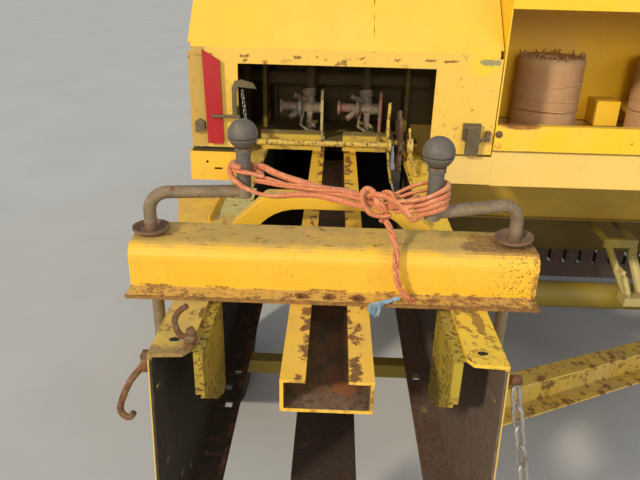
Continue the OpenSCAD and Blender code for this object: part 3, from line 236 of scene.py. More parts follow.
class Finish:
    """A node material built in layers on the object's own coordinates."""

    def __init__(self, name, base, rough=0.5, metal=0.0, level=0.5):
        self.mat = bpy.data.materials.new(name)
        self.mat.use_nodes = True
        self.tree = self.mat.node_tree
        self.tree.nodes.clear()
        out = self.new("ShaderNodeOutputMaterial")
        self.shader = self.new("ShaderNodeBsdfPrincipled")
        self.tree.links.new(self.shader.outputs[0], out.inputs[0])
        self.shader.inputs["Metallic"].default_value = metal
        self.shader.inputs["Specular IOR Level"].default_value = level
        self.place = self.new("ShaderNodeTexCoord").outputs["Object"]
        self.normal = self.new("ShaderNodeNewGeometry").outputs["Normal"]
        self.colour = base
        self.rough = rough
        self.height = None

    def new(self, kind):
        """A new node of the tree."""
        return self.tree.nodes.new(kind)

    def put(self, socket, value):
        """Links an output to a socket, or sets a number, a vector or a colour on it."""
        if isinstance(value, bpy.types.NodeSocket):
            self.tree.links.new(value, socket)
        elif isinstance(value, (int, float)):
            socket.default_value = value
        else:
            socket.default_value = (*value, 1) if len(socket.default_value) == 4 else value

    def sum(self, kind, a, b=0.0):
        """Result of one step of arithmetic."""
        node = self.new("ShaderNodeMath")
        node.operation = kind
        self.put(node.inputs[0], a)
        self.put(node.inputs[1], b)
        return node.outputs[0]

    def vector(self, kind, a, b=(0, 0, 0), output=0):
        """Result of one step of vector arithmetic."""
        node = self.new("ShaderNodeVectorMath")
        node.operation = kind
        self.put(node.inputs[0], a)
        node.inputs[1].default_value = b
        return node.outputs[output]

    def noise(self, scale, detail=4, rough=0.6, stretch=(1, 1, 1), shift=(0, 0, 0)):
        """Noise of 0..1 on the object's own coordinates; a stretch below 1 makes it longer."""
        place = self.new("ShaderNodeMapping")
        self.put(place.inputs["Vector"], self.place)
        place.inputs["Scale"].default_value = stretch
        place.inputs["Location"].default_value = shift
        node = self.new("ShaderNodeTexNoise")
        self.put(node.inputs["Vector"], place.outputs[0])
        node.inputs["Scale"].default_value = scale
        node.inputs["Detail"].default_value = detail
        node.inputs["Roughness"].default_value = rough
        return node.outputs["Fac"]

    def step(self, value, low, high):
        """0 below low and 1 above high, or the other way round where low is the greater."""
        node = self.new("ShaderNodeMapRange")
        node.interpolation_type = "SMOOTHSTEP"
        self.put(node.inputs["Value"], value)
        node.inputs["From Min"].default_value = low
        node.inputs["From Max"].default_value = high
        return node.outputs["Result"]

    def patches(self, low, high, scale, detail=5, rough=0.7, **place):
        """1 in the patches of a noise and 0 between them."""
        return self.step(self.noise(scale, detail, rough, **place), low, high)

    def wobble(self, scale, rough, amount):
        """Noise about zero, which makes an edge ragged."""
        return self.sum("MULTIPLY", self.sum("SUBTRACT", self.noise(scale, 5, rough), 0.5), amount)

    def along(self, axis):
        """The place along axis."""
        node = self.new("ShaderNodeSeparateXYZ")
        self.put(node.inputs[0], self.place)
        return node.outputs[axis]

    def facing(self, axis, low=0.5, high=0.9):
        """1 where the surface looks along axis."""
        return self.step(self.vector("DOT_PRODUCT", self.normal, axis, "Value"), low, high)

    def near(self, point, radius, ragged=0.5, scale=60.0, stretch=(1, 1, 1), core=0.72):
        """1 round a point, with a ragged edge; stretch shortens the reach; core is the part that is full."""
        reach = tuple(k / radius for k in stretch)
        away = self.vector("MULTIPLY", self.vector("SUBTRACT", self.place, point), reach)
        far = self.vector("LENGTH", away, output="Value")
        return self.step(self.sum("ADD", far, self.wobble(scale, 0.65, 4 * ragged)), 1.0, core)

    def line(self, axis, place, width, ragged=0.5, scale=70.0):
        """1 in a strip of that half width across axis, with a ragged edge."""
        off = self.sum("ABSOLUTE", self.sum("DIVIDE", self.sum("SUBTRACT", self.along(axis), place), width))
        return self.step(self.sum("ADD", off, self.wobble(scale, 0.7, 4 * ragged)), 1.0, 0.7)

    def beyond(self, axis, place, soft, sign=1, ragged=0.0, scale=50.0):
        """1 past a place along axis, or short of it where sign is -1."""
        value = self.sum("MULTIPLY", self.sum("SUBTRACT", self.along(axis), place), sign)
        if ragged:
            value = self.sum("ADD", value, self.wobble(scale, 0.7, ragged))
        return self.step(value, -soft, soft)

    def right_of(self, x, soft, *edge):
        """1 right of a machine place; edge is ragged and its scale."""
        return self.beyond("X", across(x), soft, 1, *edge)

    def left_of(self, x, soft, *edge):
        """1 left of a machine place."""
        return self.beyond("X", across(x), soft, -1, *edge)

    def within(self, x, soft):
        """1 nearer to the chamber's centreline than x on both sides."""
        return self.both(self.right_of(-x, soft), self.left_of(x, soft))

    def both(self, *masks):
        """1 where all the masks are."""
        out = masks[0]
        for m in masks[1:]:
            out = self.sum("MULTIPLY", out, m)
        return out

    def either(self, one, other):
        """1 where one of the two masks is."""
        return self.sum("MAXIMUM", one, other)

    def mix(self, mask, a, b):
        """Colour a where the mask is 0 and b where it is 1."""
        node = self.new("ShaderNodeMix")
        node.data_type = "RGBA"
        self.put(node.inputs["Factor"], mask)
        self.put(node.inputs["A"], a)
        self.put(node.inputs["B"], b)
        return node.outputs["Result"]

    def layer(self, mask, colour, rough=None, amount=1.0):
        """Lays a colour and a roughness over what is there."""
        if amount < 1:
            mask = self.sum("MULTIPLY", mask, amount)
        self.colour = self.mix(mask, self.colour, colour)
        if rough is not None:
            node = self.new("ShaderNodeMapRange")
            self.put(node.inputs["Value"], mask)
            self.put(node.inputs["To Min"], self.rough)
            node.inputs["To Max"].default_value = rough
            self.rough = node.outputs["Result"]

    def rust(self, mask, amount=1.0, dark=DARK_RUST, bright=ORANGE_RUST):
        """Lays pitted rust of three tones over what is there."""
        tone = self.mix(self.patches(0.36, 0.66, 130), dark, bright)
        tone = self.mix(self.patches(0.4, 0.62, 24, 4, 0.6, shift=(3, 1, 2)), tone, RUST)
        self.layer(mask, tone, 0.88, amount)
        self.raise_by(self.sum("MULTIPLY", mask, self.noise(420, 3, 0.7)), 0.8)

    def raise_by(self, height, amount=1.0):
        """Adds to the height that the bump shows."""
        height = self.sum("MULTIPLY", height, amount)
        self.height = height if self.height is None else self.sum("ADD", self.height, height)

    def done(self, bump=0.25, distance=0.002):
        """Closes the tree and gives the material."""
        self.put(self.shader.inputs["Base Color"], self.colour)
        self.put(self.shader.inputs["Roughness"], self.rough)
        if self.height is not None:
            node = self.new("ShaderNodeBump")
            node.inputs["Strength"].default_value = bump
            node.inputs["Distance"].default_value = distance
            self.put(node.inputs["Height"], self.height)
            self.put(self.shader.inputs["Normal"], node.outputs[0])
        return self.mat


def paint(name, base, fade=None, dirt=0.5, specks=0.5, grime_up=0.4, rough=0.42, spots=(), extra=None):
    """Old sheet paint: fading, dust on top faces, rust specks, then spots of (x, s, z, r, kind, stretch)."""
    f = Finish(name, base, rough, level=0.45)
    fade = fade or tuple(0.82 * c + 0.10 for c in base)
    f.layer(f.patches(0.42, 0.72, 3.1, 4, 0.6), fade, rough + 0.12, 0.55)
    f.layer(f.patches(0.52, 0.75, 17, stretch=(1, 1, 0.35)), BROWN_DIRT, 0.75, 0.45 * dirt)
    f.layer(f.both(f.facing(TO_SKY, 0.55, 0.95), f.patches(0.38, 0.62, 11)),
            GREY_DIRT, 0.85, grime_up)
    f.rust(f.patches(0.735 - 0.07 * specks, 0.80 - 0.07 * specks, 95, 6, 0.72, shift=(5, 2, 7)), 0.9)
    for x, s, z, r, kind, stretch in spots:
        mask = f.near(at(x, s, z), r / MM, 0.42, 900 / r + 12, stretch)
        if kind == "rust":
            f.rust(mask, 0.95)
        else:
            f.layer(mask, SPOT_COLOURS[kind], 0.75, 0.85)
    if extra:
        extra(f)
    f.raise_by(f.noise(28, 2, 0.5), 0.6)
    f.raise_by(f.noise(900, 2, 0.5), 0.05)
    return f.done(0.22, 0.003)


def metal(name, base, other, rust=0.4, rough=0.6, shine=0.0, scale=160, extra=None):
    """Rusty rod, casting or bare steel."""
    f = Finish(name, base, rough, metal=shine)
    f.layer(f.patches(0.40, 0.66, scale), other, rough + 0.1, 0.8)
    f.layer(f.patches(0.45, 0.7, scale / 7, 4, 0.6, shift=(1, 4, 2)), DARK_RUST, 0.85, 0.35)
    f.rust(f.patches(0.66 - 0.3 * rust, 0.74 - 0.3 * rust, scale / 3, shift=(2, 2, 9)), 0.85)
    if extra:
        extra(f)
    f.raise_by(f.noise(scale * 3, 3, 0.6), 0.7)
    return f.done(0.3, 0.0015)


def rubber(name, base, dust):
    """Tyre or plastic guard with dust on it."""
    f = Finish(name, base, 0.8, level=0.3)
    f.layer(f.patches(0.4, 0.68, 14), dust, 0.92, 0.7)
    f.layer(f.patches(0.5, 0.7, 160, 4, 0.7), (0.02, 0.02, 0.02), 0.85, 0.5)
    f.raise_by(f.noise(500, 3, 0.6), 0.6)
    return f.done(0.2, 0.001)


def twine_finish(name, bright, deep, pale):
    """Flat film twine: fine lines along the strand, bleached in places."""
    f = Finish(name, bright, 0.5, level=0.4)
    f.shader.inputs["Subsurface Weight"].default_value = 0.04
    f.shader.inputs["Subsurface Radius"].default_value = (0.01, 0.004, 0.003)
    f.shader.inputs["Sheen Weight"].default_value = 0.15
    f.layer(f.patches(0.42, 0.62, 240, 4, 0.7, stretch=(1, 1, 3)), deep, 0.6, 0.75)
    f.layer(f.patches(0.5, 0.72, 60, 4, 0.6, shift=(7, 3, 1)), pale, 0.55, 0.75)
    f.raise_by(f.noise(800, 3, 0.7, stretch=(1, 1, 4)), 1.0)
    return f.done(0.35, 0.0008)


WARM = (0.78, 0.435, 0.022)
PALE_YELLOW = (0.74, 0.47, 0.075)
BRIGHT = (0.83, 0.50, 0.012)
OLIVE = (0.42, 0.29, 0.045)
DULL = (0.60, 0.39, 0.055)


# ---- Wear, painted shade and painted light of single nodes ----
# Heights in metres of what the wear and the painted shade follow, and places in machine millimetres.
LIP_TOP = 1.0375            # upper face of the upper beam's lip
LIP_FOLD = 1.0385
LIP_BACK = 150.5            # rear edge of the lip
BEAM_TOP = 1.10             # the beam's rounded shoulder starts here
BEAM_FACE = 183
BEAM_BOLTS = (-45.5, 0, 45.5)
RAIL_MOUTH = -45.3          # rear end of the centre rail
RAIL_INSIDE = (60.5, 0.981, 1.0255)     # half width, floor and ceiling of the rail's hollow
WALL_OUTSIDE = 248          # past this the chamber's walls show their outer faces
WALL_TOP = 1.0225           # above this they are painted flanges
FLANGE_FOLD = 196
HOUSING_INSIDE = (246, 0.634, 1.026)    # half width, floor and ceiling
BOX_FACE = 981              # rear face of the twine box
BOX_SEAM = 1.062
HOOD_BACK = 985             # rear face of the hood
HOOD_BEND = 1.300
ARM_TOP = 1.1285            # upper side of the crank arms
GRIP_FOOT = 1.190           # the handles stand above this


def beam_wear(f):
    """Upper beam: dirt on top, a rusty lip, and rust that thickens to the right end."""
    top = f.both(f.facing(TO_SKY, 0.86, 0.98), f.beyond("Z", BEAM_TOP, 0.004))
    f.layer(f.both(top, f.patches(0.22, 0.56, 9)), (0.46, 0.305, 0.080), 0.8, 0.85)
    f.rust(f.both(top, f.patches(0.56, 0.63, 55, 6, 0.78, stretch=(0.5, 1, 1))), 0.75)
    f.rust(f.both(top, f.near(at(285, 205, 1110), 0.075, 0.5, 30)), 0.65)
    # Lip: yellow under thin rust, with a rust line in the fold and along the edge.
    lip = f.beyond("Z", LIP_TOP, 0.001, -1)
    f.layer(lip, (0.56, 0.34, 0.080), 0.75, 0.7)
    f.rust(f.both(lip, f.patches(0.53, 0.62, 120, 5, 0.78)), 0.55, DARK_RUST, RUST)
    f.rust(f.both(lip, f.right_of(110, 0.05, 0.1, 30), f.patches(0.42, 0.56, 60, 5, 0.78)), 0.55)
    f.rust(f.both(f.line("Z", LIP_FOLD, 0.0028, 1.0, 80), f.patches(0.48, 0.56, 34, 4, 0.6)), 0.7)
    f.rust(f.line("Y", from_end(LIP_BACK), 0.0022, 0.6, 90), 0.75)
    # Right end.
    f.rust(f.both(f.right_of(268, 0.05, 0.10, 25), f.patches(0.55, 0.60, 190, 5, 0.75)), 0.95)
    f.rust(f.both(f.right_of(324, 0.005, 0.02, 60), f.patches(0.48, 0.56, 90, 5, 0.75)), 0.7)
    # Groups of specks on the face, and stains round the bolts of the lip.
    specks = f.patches(0.62, 0.64, 170, 6, 0.8, shift=(4, 4, 4))
    for x, z, r in ((-25, 1088, 70), (-300, 1048, 30), (170, 1070, 60), (70, 1100, 50)):
        f.rust(f.both(specks, f.near(at(x, BEAM_FACE, z), r / MM, 0.3, 30)), 0.95)
    for x in BEAM_BOLTS:
        f.rust(f.near(at(x, 167, 1034), 0.013, 0.35, 120), 0.9)


def rail_wear_shade_and_light(f):
    """Centre rail: brown rust inside, darkened there as painted shade, with a lighter patch of painted light at
    the mouth, rust beside the slot and on the end.
    """
    half, floor_z, ceiling = RAIL_INSIDE
    inside = f.both(f.within(half, 0.0005), f.beyond("Y", from_end(RAIL_MOUTH), 0.0004),
                    f.beyond("Z", floor_z, 0.0005), f.beyond("Z", ceiling, 0.0005, -1))
    # Painted shade: the rust in the hollow is laid in darker tones than the rust outside.
    f.rust(inside, 0.97, (0.030, 0.019, 0.007), (0.085, 0.045, 0.015))
    # Painted light: a lighter patch on the hollow's floor at the mouth, where light falls in.
    lit = f.both(inside, f.near(at(38, -40, 985), 0.056, 0.25, 30, (0.62, 1, 1)))
    f.layer(f.both(lit, f.patches(0.34, 0.60, 160, 5, 0.75)), (0.185, 0.115, 0.070), 0.85, 0.9)
    f.layer(f.both(inside, f.near(at(24, 2, 985), 0.018, 0.6, 70)), ORANGE_RUST, 0.85, 0.85)
    top = f.both(f.facing(TO_SKY), f.beyond("Z", 1.02, 0.003))
    edge = f.either(f.line("X", across(-34), 0.010, 1.0, 60), f.line("X", across(38), 0.013, 1.0, 60))
    f.rust(f.both(top, edge, f.patches(0.49, 0.54, 28, 4, 0.6)), 0.9)
    f.rust(f.both(f.facing(TO_REAR), f.patches(0.42, 0.58, 26)), 0.8)


def side_wear_and_shade(f):
    """Chamber walls: worn brown steel inside, darker on the left wall as painted shade, paint on the flanges and
    outside.
    """
    wall = f.both(f.beyond("Z", WALL_TOP, 0.001, -1), f.within(WALL_OUTSIDE, 0.0006))
    grain = f.patches(0.35, 0.68, 210, 5, 0.75, stretch=(1, 1, 0.25))
    right = f.right_of(0, 0.01)
    # Painted shade: the left wall's inner face gets darker tones than the right's.
    dark = f.mix(right, (0.022, 0.015, 0.007), (0.090, 0.058, 0.038))
    light = f.mix(right, (0.050, 0.036, 0.018), (0.165, 0.108, 0.072))
    f.layer(wall, f.mix(grain, dark, light), 0.85)
    smears = f.patches(0.52, 0.74, 9, stretch=(1, 1, 0.4))
    f.layer(f.both(wall, smears), (0.060, 0.034, 0.018), 0.85, 0.5)
    foot = f.beyond("Z", 0.62, 0.02, -1)
    f.rust(f.both(wall, foot, f.patches(0.52, 0.62, 30)), 0.45, DARK_RUST, RUST)
    # The right flange keeps its paint; the left one is dirty at its end.
    f.layer(f.both(right, f.beyond("Z", WALL_TOP + 0.001, 0.001)), (0.78, 0.50, 0.030), 0.55, 0.8)
    front = f.both(f.beyond("Y", from_end(22), 0.01, -1, 0.04, 30), f.beyond("Z", 1.02, 0.002))
    f.layer(f.both(front, f.left_of(0, 0.01)), (0.22, 0.145, 0.055), 0.85, 0.8)
    f.rust(f.both(front, f.patches(0.50, 0.60, 60, 5, 0.75)), 0.5)
    top = f.facing(TO_SKY)
    f.rust(f.both(top, f.patches(0.54, 0.62, 38, 6, 0.78)), 0.75)
    f.rust(f.both(top, f.near(at(229, 120, 1030), 0.040, 0.6, 50, (4.0, 1, 1))), 0.7)
    # Painted shade: two small holes in the flanges, drawn as black spots.
    for x, s in ((-221, 38), (218, 30)):
        f.layer(f.near(at(x, s, 1030), 0.007, 0.2, 160, (0.8, 1.1, 1)), HOLE_SHADE, 0.9)
    for x in (-FLANGE_FOLD, FLANGE_FOLD):
        fold = f.line("X", across(x), 0.005, 0.8, 45)
        f.rust(f.both(top, fold, f.patches(0.45, 0.55, 25, 3, 0.5)), 0.85)


def housing_shade(f):
    """Plunger housing: painted shade inside."""
    half, floor_z, ceiling = HOUSING_INSIDE
    inside = f.both(f.within(half, 0.0006), f.beyond("Z", floor_z, 0.0006), f.beyond("Z", ceiling, 0.0006, -1))
    # Painted shade laid over the inside faces.
    f.layer(inside, (0.060, 0.042, 0.010), 0.8)


def box_wear(f):
    """Twine box: a rust stain under the left ball, a dark seam and a pale lower panel."""
    stain = f.near(at(512, BOX_FACE, 1136), 0.066, 0.25, 40, (1, 1, 4.6))
    f.rust(stain, 0.9, (0.22, 0.065, 0.014), (0.42, 0.15, 0.025))
    f.layer(f.line("Z", BOX_SEAM, 0.003, 0.2, 20), DARK_RUST, 0.8, 0.8)
    f.layer(f.both(f.facing(TO_REAR), f.beyond("Z", BOX_SEAM - 0.002, 0.004, -1)), PALE_SCUFF, 0.7, 0.35)


def feeder_wear(f):
    """Feeder housing: brown smears, and darker below 0.70 m."""
    f.layer(f.patches(0.45, 0.7, 5, stretch=(1, 1, 2.5)), (0.24, 0.145, 0.020), 0.8, 0.4)
    f.rust(f.patches(0.62, 0.68, 60, 5, 0.78), 0.6)
    f.layer(f.beyond("Z", 0.700, 0.003, -1), (0.100, 0.060, 0.018), 0.85, 0.9)


def rear_sheet_shade(f):
    """Pickup: the sheet behind the reel is laid dark as painted shade."""
    sheet = f.both(f.beyond("Y", from_end(1932), 0.001, -1), f.facing(TO_REAR))
    # Painted shade on the rear-facing sheet behind the reel.
    f.layer(sheet, (0.085, 0.055, 0.008), 0.85, 0.95)


def post_shade_and_smears(f):
    """Knotter frame: dark posts and upper faces as painted shade, brown smears."""
    # Painted shade: the posts above 1.075 m and the upper faces under the hood are laid dark.
    f.layer(f.beyond("Z", 1.075, 0.004), (0.075, 0.052, 0.012), 0.85, 0.92)
    upper = f.both(f.facing(TO_SKY), f.beyond("Y", from_end(1030), 0.004))
    f.layer(upper, (0.085, 0.060, 0.014), 0.85, 0.9)
    f.layer(f.patches(0.50, 0.64, 26, 5, 0.75, stretch=(0.5, 1, 2)), (0.24, 0.15, 0.05), 0.85, 0.6)


def brace_wear(f):
    """Axle brace: rust along its fold and in patches."""
    f.rust(f.line("Z", 0.560, 0.010, 0.8, 30), 0.9)
    f.rust(f.patches(0.50, 0.62, 24), 0.85)


def spring_wear(f):
    """Pickup springs: dark upper ends and a dark left arm."""
    f.layer(f.beyond("Z", 0.615, 0.020), (0.105, 0.078, 0.010), 0.6, 0.95)
    f.layer(f.left_of(985, 0.004), (0.16, 0.115, 0.012), 0.6, 0.8)


def knot_rust(f):
    """Knotters: rust and bare spots, and paint left on the right one's drum and bar."""
    f.rust(f.patches(0.52, 0.62, 60, 5, 0.75), 0.7, DARK_RUST, (0.22, 0.10, 0.05))
    f.layer(f.patches(0.54, 0.66, 90, 4, 0.7, shift=(4, 4, 0)), (0.30, 0.25, 0.18), 0.6, 0.8)
    right = f.right_of(0, 0.01)
    drum = f.both(right, f.left_of(40, 0.003))
    bar = f.both(right, f.right_of(134, 0.0015))
    f.layer(drum, (0.30, 0.105, 0.060), 0.7, 0.6)
    f.layer(bar, (0.34, 0.055, 0.030), 0.7, 0.8)
    flakes = f.both(f.right_of(-48, 0.0015), f.left_of(0, 0.01), f.patches(0.42, 0.50, 120, 5, 0.75))
    f.layer(flakes, (0.50, 0.40, 0.16), 0.7, 0.9)


def hood_wear(f):
    """Hood: a faded rear panel with rust over its notch, and marks at the bend."""
    panel = f.facing(TO_REAR, 0.8, 0.97)
    f.layer(panel, PALE_YELLOW, 0.55, 0.75)
    f.rust(f.both(f.line("Z", HOOD_BEND, 0.004, 1.2, 110), f.patches(0.57, 0.62, 36, 3, 0.5),
                  f.left_of(320, 0.01)), 0.8)
    f.rust(f.both(panel, f.patches(0.62, 0.68, 60, 6, 0.75, shift=(1, 8, 2))), 0.9)
    f.rust(f.both(panel, f.line("Z", HOOD_BEND - 0.013, 0.007, 1.2, 90), f.patches(0.57, 0.62, 30, 3, 0.5),
                  f.left_of(320, 0.01)), 0.75)
    # Overspray and a scraped patch at the bend's right end, and a fine crack on the slope.
    spray = f.near(at(386, HOOD_BACK, 1294), 0.060, 0.35, 26, (1, 1, 1.3), 0.1)
    f.layer(spray, (0.83, 0.53, 0.008), 0.5, 0.9)
    scrape = f.near(at(404, HOOD_BACK, 1300), 0.030, 0.5, 70, (1.0, 1, 3.2))
    f.layer(scrape, (0.27, 0.25, 0.11), 0.8, 0.95)
    crack = f.both(f.line("X", across(97), 0.0017, 1.6, 16), f.beyond("Z", 1.352, 0.004))
    f.layer(crack, (0.08, 0.05, 0.018), 0.8, 0.95)
    f.layer(f.both(panel, f.left_of(-352, 0.006, 0.02, 40)), BROWN_DIRT, 0.8, 0.5)


def rod_rust_and_highlight(f):
    """Cranks: rusty arms, grey paint on the handles, and a seam round each ball with a painted highlight under it.
    """
    upper = f.both(f.facing(TO_SKY, 0.1, 0.8), f.patches(0.40, 0.62, 50))
    f.rust(upper, 0.55, RUST, (0.24, 0.115, 0.045))
    foot = f.both(f.beyond("Z", ARM_TOP, 0.001, -1), f.beyond("Z", 1.05, 0.004))
    f.layer(foot, (0.155, 0.080, 0.038), 0.85, 0.75)
    grip = f.both(f.beyond("Z", GRIP_FOOT, 0.004), f.right_of(-250, 0.004), f.left_of(262, 0.004))
    f.layer(grip, (0.095, 0.082, 0.066), 0.55, 0.9)
    f.layer(f.both(grip, f.patches(0.52, 0.68, 70)), (0.17, 0.125, 0.085), 0.7, 0.75)
    f.rust(f.both(grip, f.patches(0.60, 0.68, 120, 5, 0.75, shift=(3, 3, 3))), 0.85)
    f.rust(f.both(grip, f.line("Z", 1.2525, 0.003, 0.3, 90)), 0.6, RUST, (0.30, 0.20, 0.11))
    # Moulding seam: a dark line over a light one, the light one a painted highlight.
    f.layer(f.line("Z", 1.2712, 0.0009, 0.0), (0.020, 0.018, 0.015), 0.8, 0.9)
    f.layer(f.line("Z", 1.2690, 0.0009, 0.0), (0.17, 0.15, 0.12), 0.6, 0.8)


def flake_wear(f):
    """Twine guide: rust and bare spots in flaky paint."""
    f.rust(f.patches(0.52, 0.57, 85, 5, 0.75), 0.9)
    f.layer(f.patches(0.60, 0.64, 110, 5, 0.75, shift=(3, 3, 3)), (0.62, 0.56, 0.40), 0.7, 0.9)


def speckle_wear(f):
    """Wedge plates: dark specks in groups."""
    specks = f.both(f.patches(0.50, 0.56, 120, 6, 0.8), f.patches(0.42, 0.56, 14, 3, 0.6))
    f.rust(specks, 0.95, (0.03, 0.022, 0.01), DARK_RUST)


def plate_wear(f):
    """Bare plate: dark specks."""
    f.layer(f.patches(0.57, 0.60, 60, 5, 0.8, stretch=(0.5, 1, 1)), (0.03, 0.025, 0.012), 0.9)


# Spots on paint: machine x, s and z, radius in millimetres, kind, and the stretch that shortens the reach.
SMUDGES = (
    (-330, HOOD_BACK, 1262, 8, "rust", (1, 1, 1)), (300, HOOD_BACK, 1130, 7, "rust", (1, 1, 1)),
    (-306, HOOD_BACK, 1075, 14, "brown", (1, 1, 1)), (120, 1040, 1356, 6, "rust", (1, 1, 1)),
    (-140, HOOD_BACK, 1288, 9, "rust", (0.6, 1, 1.6)), (-126, HOOD_BACK, 1291, 6, "rust", (0.6, 1, 1.6)),
    (180, HOOD_BACK, 1286, 9, "rust", (0.6, 1, 2)))
BOX_SPOTS = (
    (640, BOX_FACE, 1020, 3.5, "dark", (1, 1, 1)), (820, BOX_FACE, 1094, 3, "rust", (1, 1, 1)),
    (1400, BOX_FACE, 1090, 22, "rust", (1, 1, 1.5)))
PLATE_SPOTS = (
    (-322, 984, 1205, 5, "pale", (0.6, 1, 2.4)), (-338, 984, 1275, 6, "pale", (2.4, 1, 0.8)),
    (-345, 984, 1090, 6, "dark", (2, 1, 0.5)))

yellow = paint("yellow_paint", WARM)
flaky = paint("flaky_yellow", (0.56, 0.365, 0.040), (0.50, 0.37, 0.10), 0.9, 1.0, 0.5, 0.5, extra=flake_wear)
shade = metal("shaded_iron", (0.060, 0.042, 0.010), (0.090, 0.060, 0.014), 0.15, 0.85)
mauve = metal("brown_steel", (0.085, 0.055, 0.038), (0.125, 0.080, 0.055), 0.25, 0.8, scale=60)
dull = paint("dull_yellow", DULL, dirt=0.9, specks=0.8, grime_up=0.7)
tube_paint = paint("tube_paint", (0.215, 0.152, 0.009), (0.25, 0.18, 0.02), 0.7, 0.6, 0.25, 0.55)
olive = paint("olive_paint", OLIVE, (0.50, 0.36, 0.08), 1.0, 0.9, 0.6, 0.55)
bright = paint("bright_yellow", BRIGHT, dirt=0.35, specks=0.3, spots=BOX_SPOTS, extra=box_wear)
rusty = metal("rusty_steel", (0.13, 0.075, 0.035), (0.26, 0.15, 0.05), 0.7, 0.8)
rod = metal("rusty_rod", (0.205, 0.148, 0.080), (0.27, 0.190, 0.100), 0.20, 0.62, scale=190, extra=rod_rust_and_highlight)
latch = metal("latch_iron", (0.100, 0.076, 0.030), (0.17, 0.122, 0.055), 0.25, 0.7, scale=120)
link_grey = metal("chain_grey", (0.36, 0.34, 0.32), (0.26, 0.215, 0.18), 0.12, 0.45, 0.55, 200)
speckled = paint("speckled_olive", (0.36, 0.25, 0.014), (0.42, 0.30, 0.03), 0.4, 1.0, 0.3, 0.5,
                 extra=speckle_wear)
iron = metal("dark_iron", (0.085, 0.062, 0.045), (0.16, 0.085, 0.045), 0.6, 0.7, 0.2, 110)
casting = metal("rusty_casting", (0.17, 0.135, 0.085), (0.24, 0.180, 0.110), 0.35, 0.7, scale=90, extra=knot_rust)
grey = metal("grey_iron", (0.20, 0.19, 0.15), (0.27, 0.22, 0.12), 0.45, 0.6, 0.2)
alloy = metal("light_alloy", (0.45, 0.43, 0.38), (0.30, 0.26, 0.19), 0.2, 0.5, 0.6)
steel = metal("bare_steel", (0.50, 0.49, 0.46), (0.36, 0.33, 0.28), 0.15, 0.35, 0.9, 260)
red = paint("red_paint", (0.42, 0.035, 0.018), (0.40, 0.10, 0.06), 0.8, 0.8, 0.5, 0.5)
guard = rubber("black_guard", (0.028, 0.028, 0.028), (0.07, 0.06, 0.045))
tyre = rubber("tyre_rubber", (0.030, 0.029, 0.028), (0.095, 0.080, 0.058))
plate = paint("red_plate", (0.38, 0.009, 0.011), (0.44, 0.04, 0.035), 0.15, 0.2, 0.2, 0.3, PLATE_SPOTS)


def paper_finish():
    """Brown paper round the twine balls, torn pale at its top."""
    f = Finish("paper_wrap", (0.46, 0.265, 0.125), 0.82, level=0.25)
    f.layer(f.patches(0.46, 0.70, 22, stretch=(1, 1, 3)), (0.38, 0.200, 0.090), 0.85, 0.6)
    f.layer(f.patches(0.5, 0.7, 8, 4, 0.6, shift=(2, 9, 4)), (0.52, 0.33, 0.17), 0.8, 0.6)
    f.layer(f.beyond("Z", 1.262, 0.010, 1, 0.03, 60), (0.50, 0.33, 0.16), 0.9, 0.8)
    f.raise_by(f.noise(70, 5, 0.7, stretch=(1, 1, 0.3)), 1.0)
    f.raise_by(f.noise(380, 3, 0.6), 0.25)
    return f.done(0.5, 0.004)


paper = paper_finish()
side_paint = paint("side_paint", DULL, extra=side_wear_and_shade)
finish_of = {
    "chamber_side_left": side_paint, "chamber_side_right": side_paint, "plunger_block": iron,
    "top_rail": paint("rail_paint", WARM, grime_up=0.15, extra=rail_wear_shade_and_light),
    # Bottom rail: dark rust, laid darker still as painted shade.
    "bottom_rail": metal("rusty_shaded_rail", (0.035, 0.022, 0.014), (0.075, 0.042, 0.022), 0.2, 0.85),
    "beam_upper": paint("beam_paint", WARM, (0.80, 0.47, 0.050), 0.35, 0.45, 0.6, extra=beam_wear),
    "beam_lower": rusty, "crank_left": rod, "crank_right": rod, "side_wedges": speckled,
    "wall_hooks": rusty, "side_chain": link_grey, "axle": tube_paint, "axle_saddles": olive,
    "axle_brace": paint("brace_paint", DULL, dirt=0.9, extra=brace_wear),
    "lift_springs": paint("spring_paint", (0.42, 0.34, 0.12), (0.50, 0.42, 0.20), 0.9, 0.8, extra=spring_wear),
    "gearbox": grey,
    "feeder_housing": paint("feeder_paint", (0.36, 0.225, 0.010), (0.38, 0.25, 0.02), 0.4, 0.5,
                            extra=feeder_wear),
    "feeder_fingers": alloy, "twine_box": bright, "twine_balls": paper, "knotters": casting,
    "knotter_drive": shade,
    "knotter_frame": paint("bracket_paint", (0.58, 0.375, 0.035), dirt=0.9, specks=0.8, extra=post_shade_and_smears),
    "needles": iron, "twine_guide": flaky, "hood_hinge_rail": olive,
    "hood_shell": paint("hood_paint", (0.80, 0.475, 0.040), (0.80, 0.50, 0.075), 0.3, 0.35, 0.15, 0.38,
                        SMUDGES, hood_wear),
    "hood_latches": latch, "reflector_plate": plate, "tyre_left": tyre, "tyre_right": tyre,
    "metering_wheel": iron, "flywheel": red, "drawbar": red, "pto_shaft": guard, "jack_tube": red,
    "jack_leg": steel, "pickup_frame": paint("pickup_paint", DULL, dirt=0.9, extra=rear_sheet_shade),
    "strippers": mauve, "windguard": olive, "pickup_reel": iron, "gauge_wheel": tyre,
    "rim_left": yellow, "rim_right": yellow, "front_frame": dull,
    "plunger_housing": paint("housing_paint", (0.50, 0.32, 0.025), (0.46, 0.31, 0.05), 0.9, 0.7,
                             extra=housing_shade),
    "chamber_frame": tube_paint}
for name, node in nodes.items():
    finish = finish_of.get(name, yellow)
    if not node.material_slots:
        node.data.materials.append(finish)
    for slot in node.material_slots:
        slot.material = finish

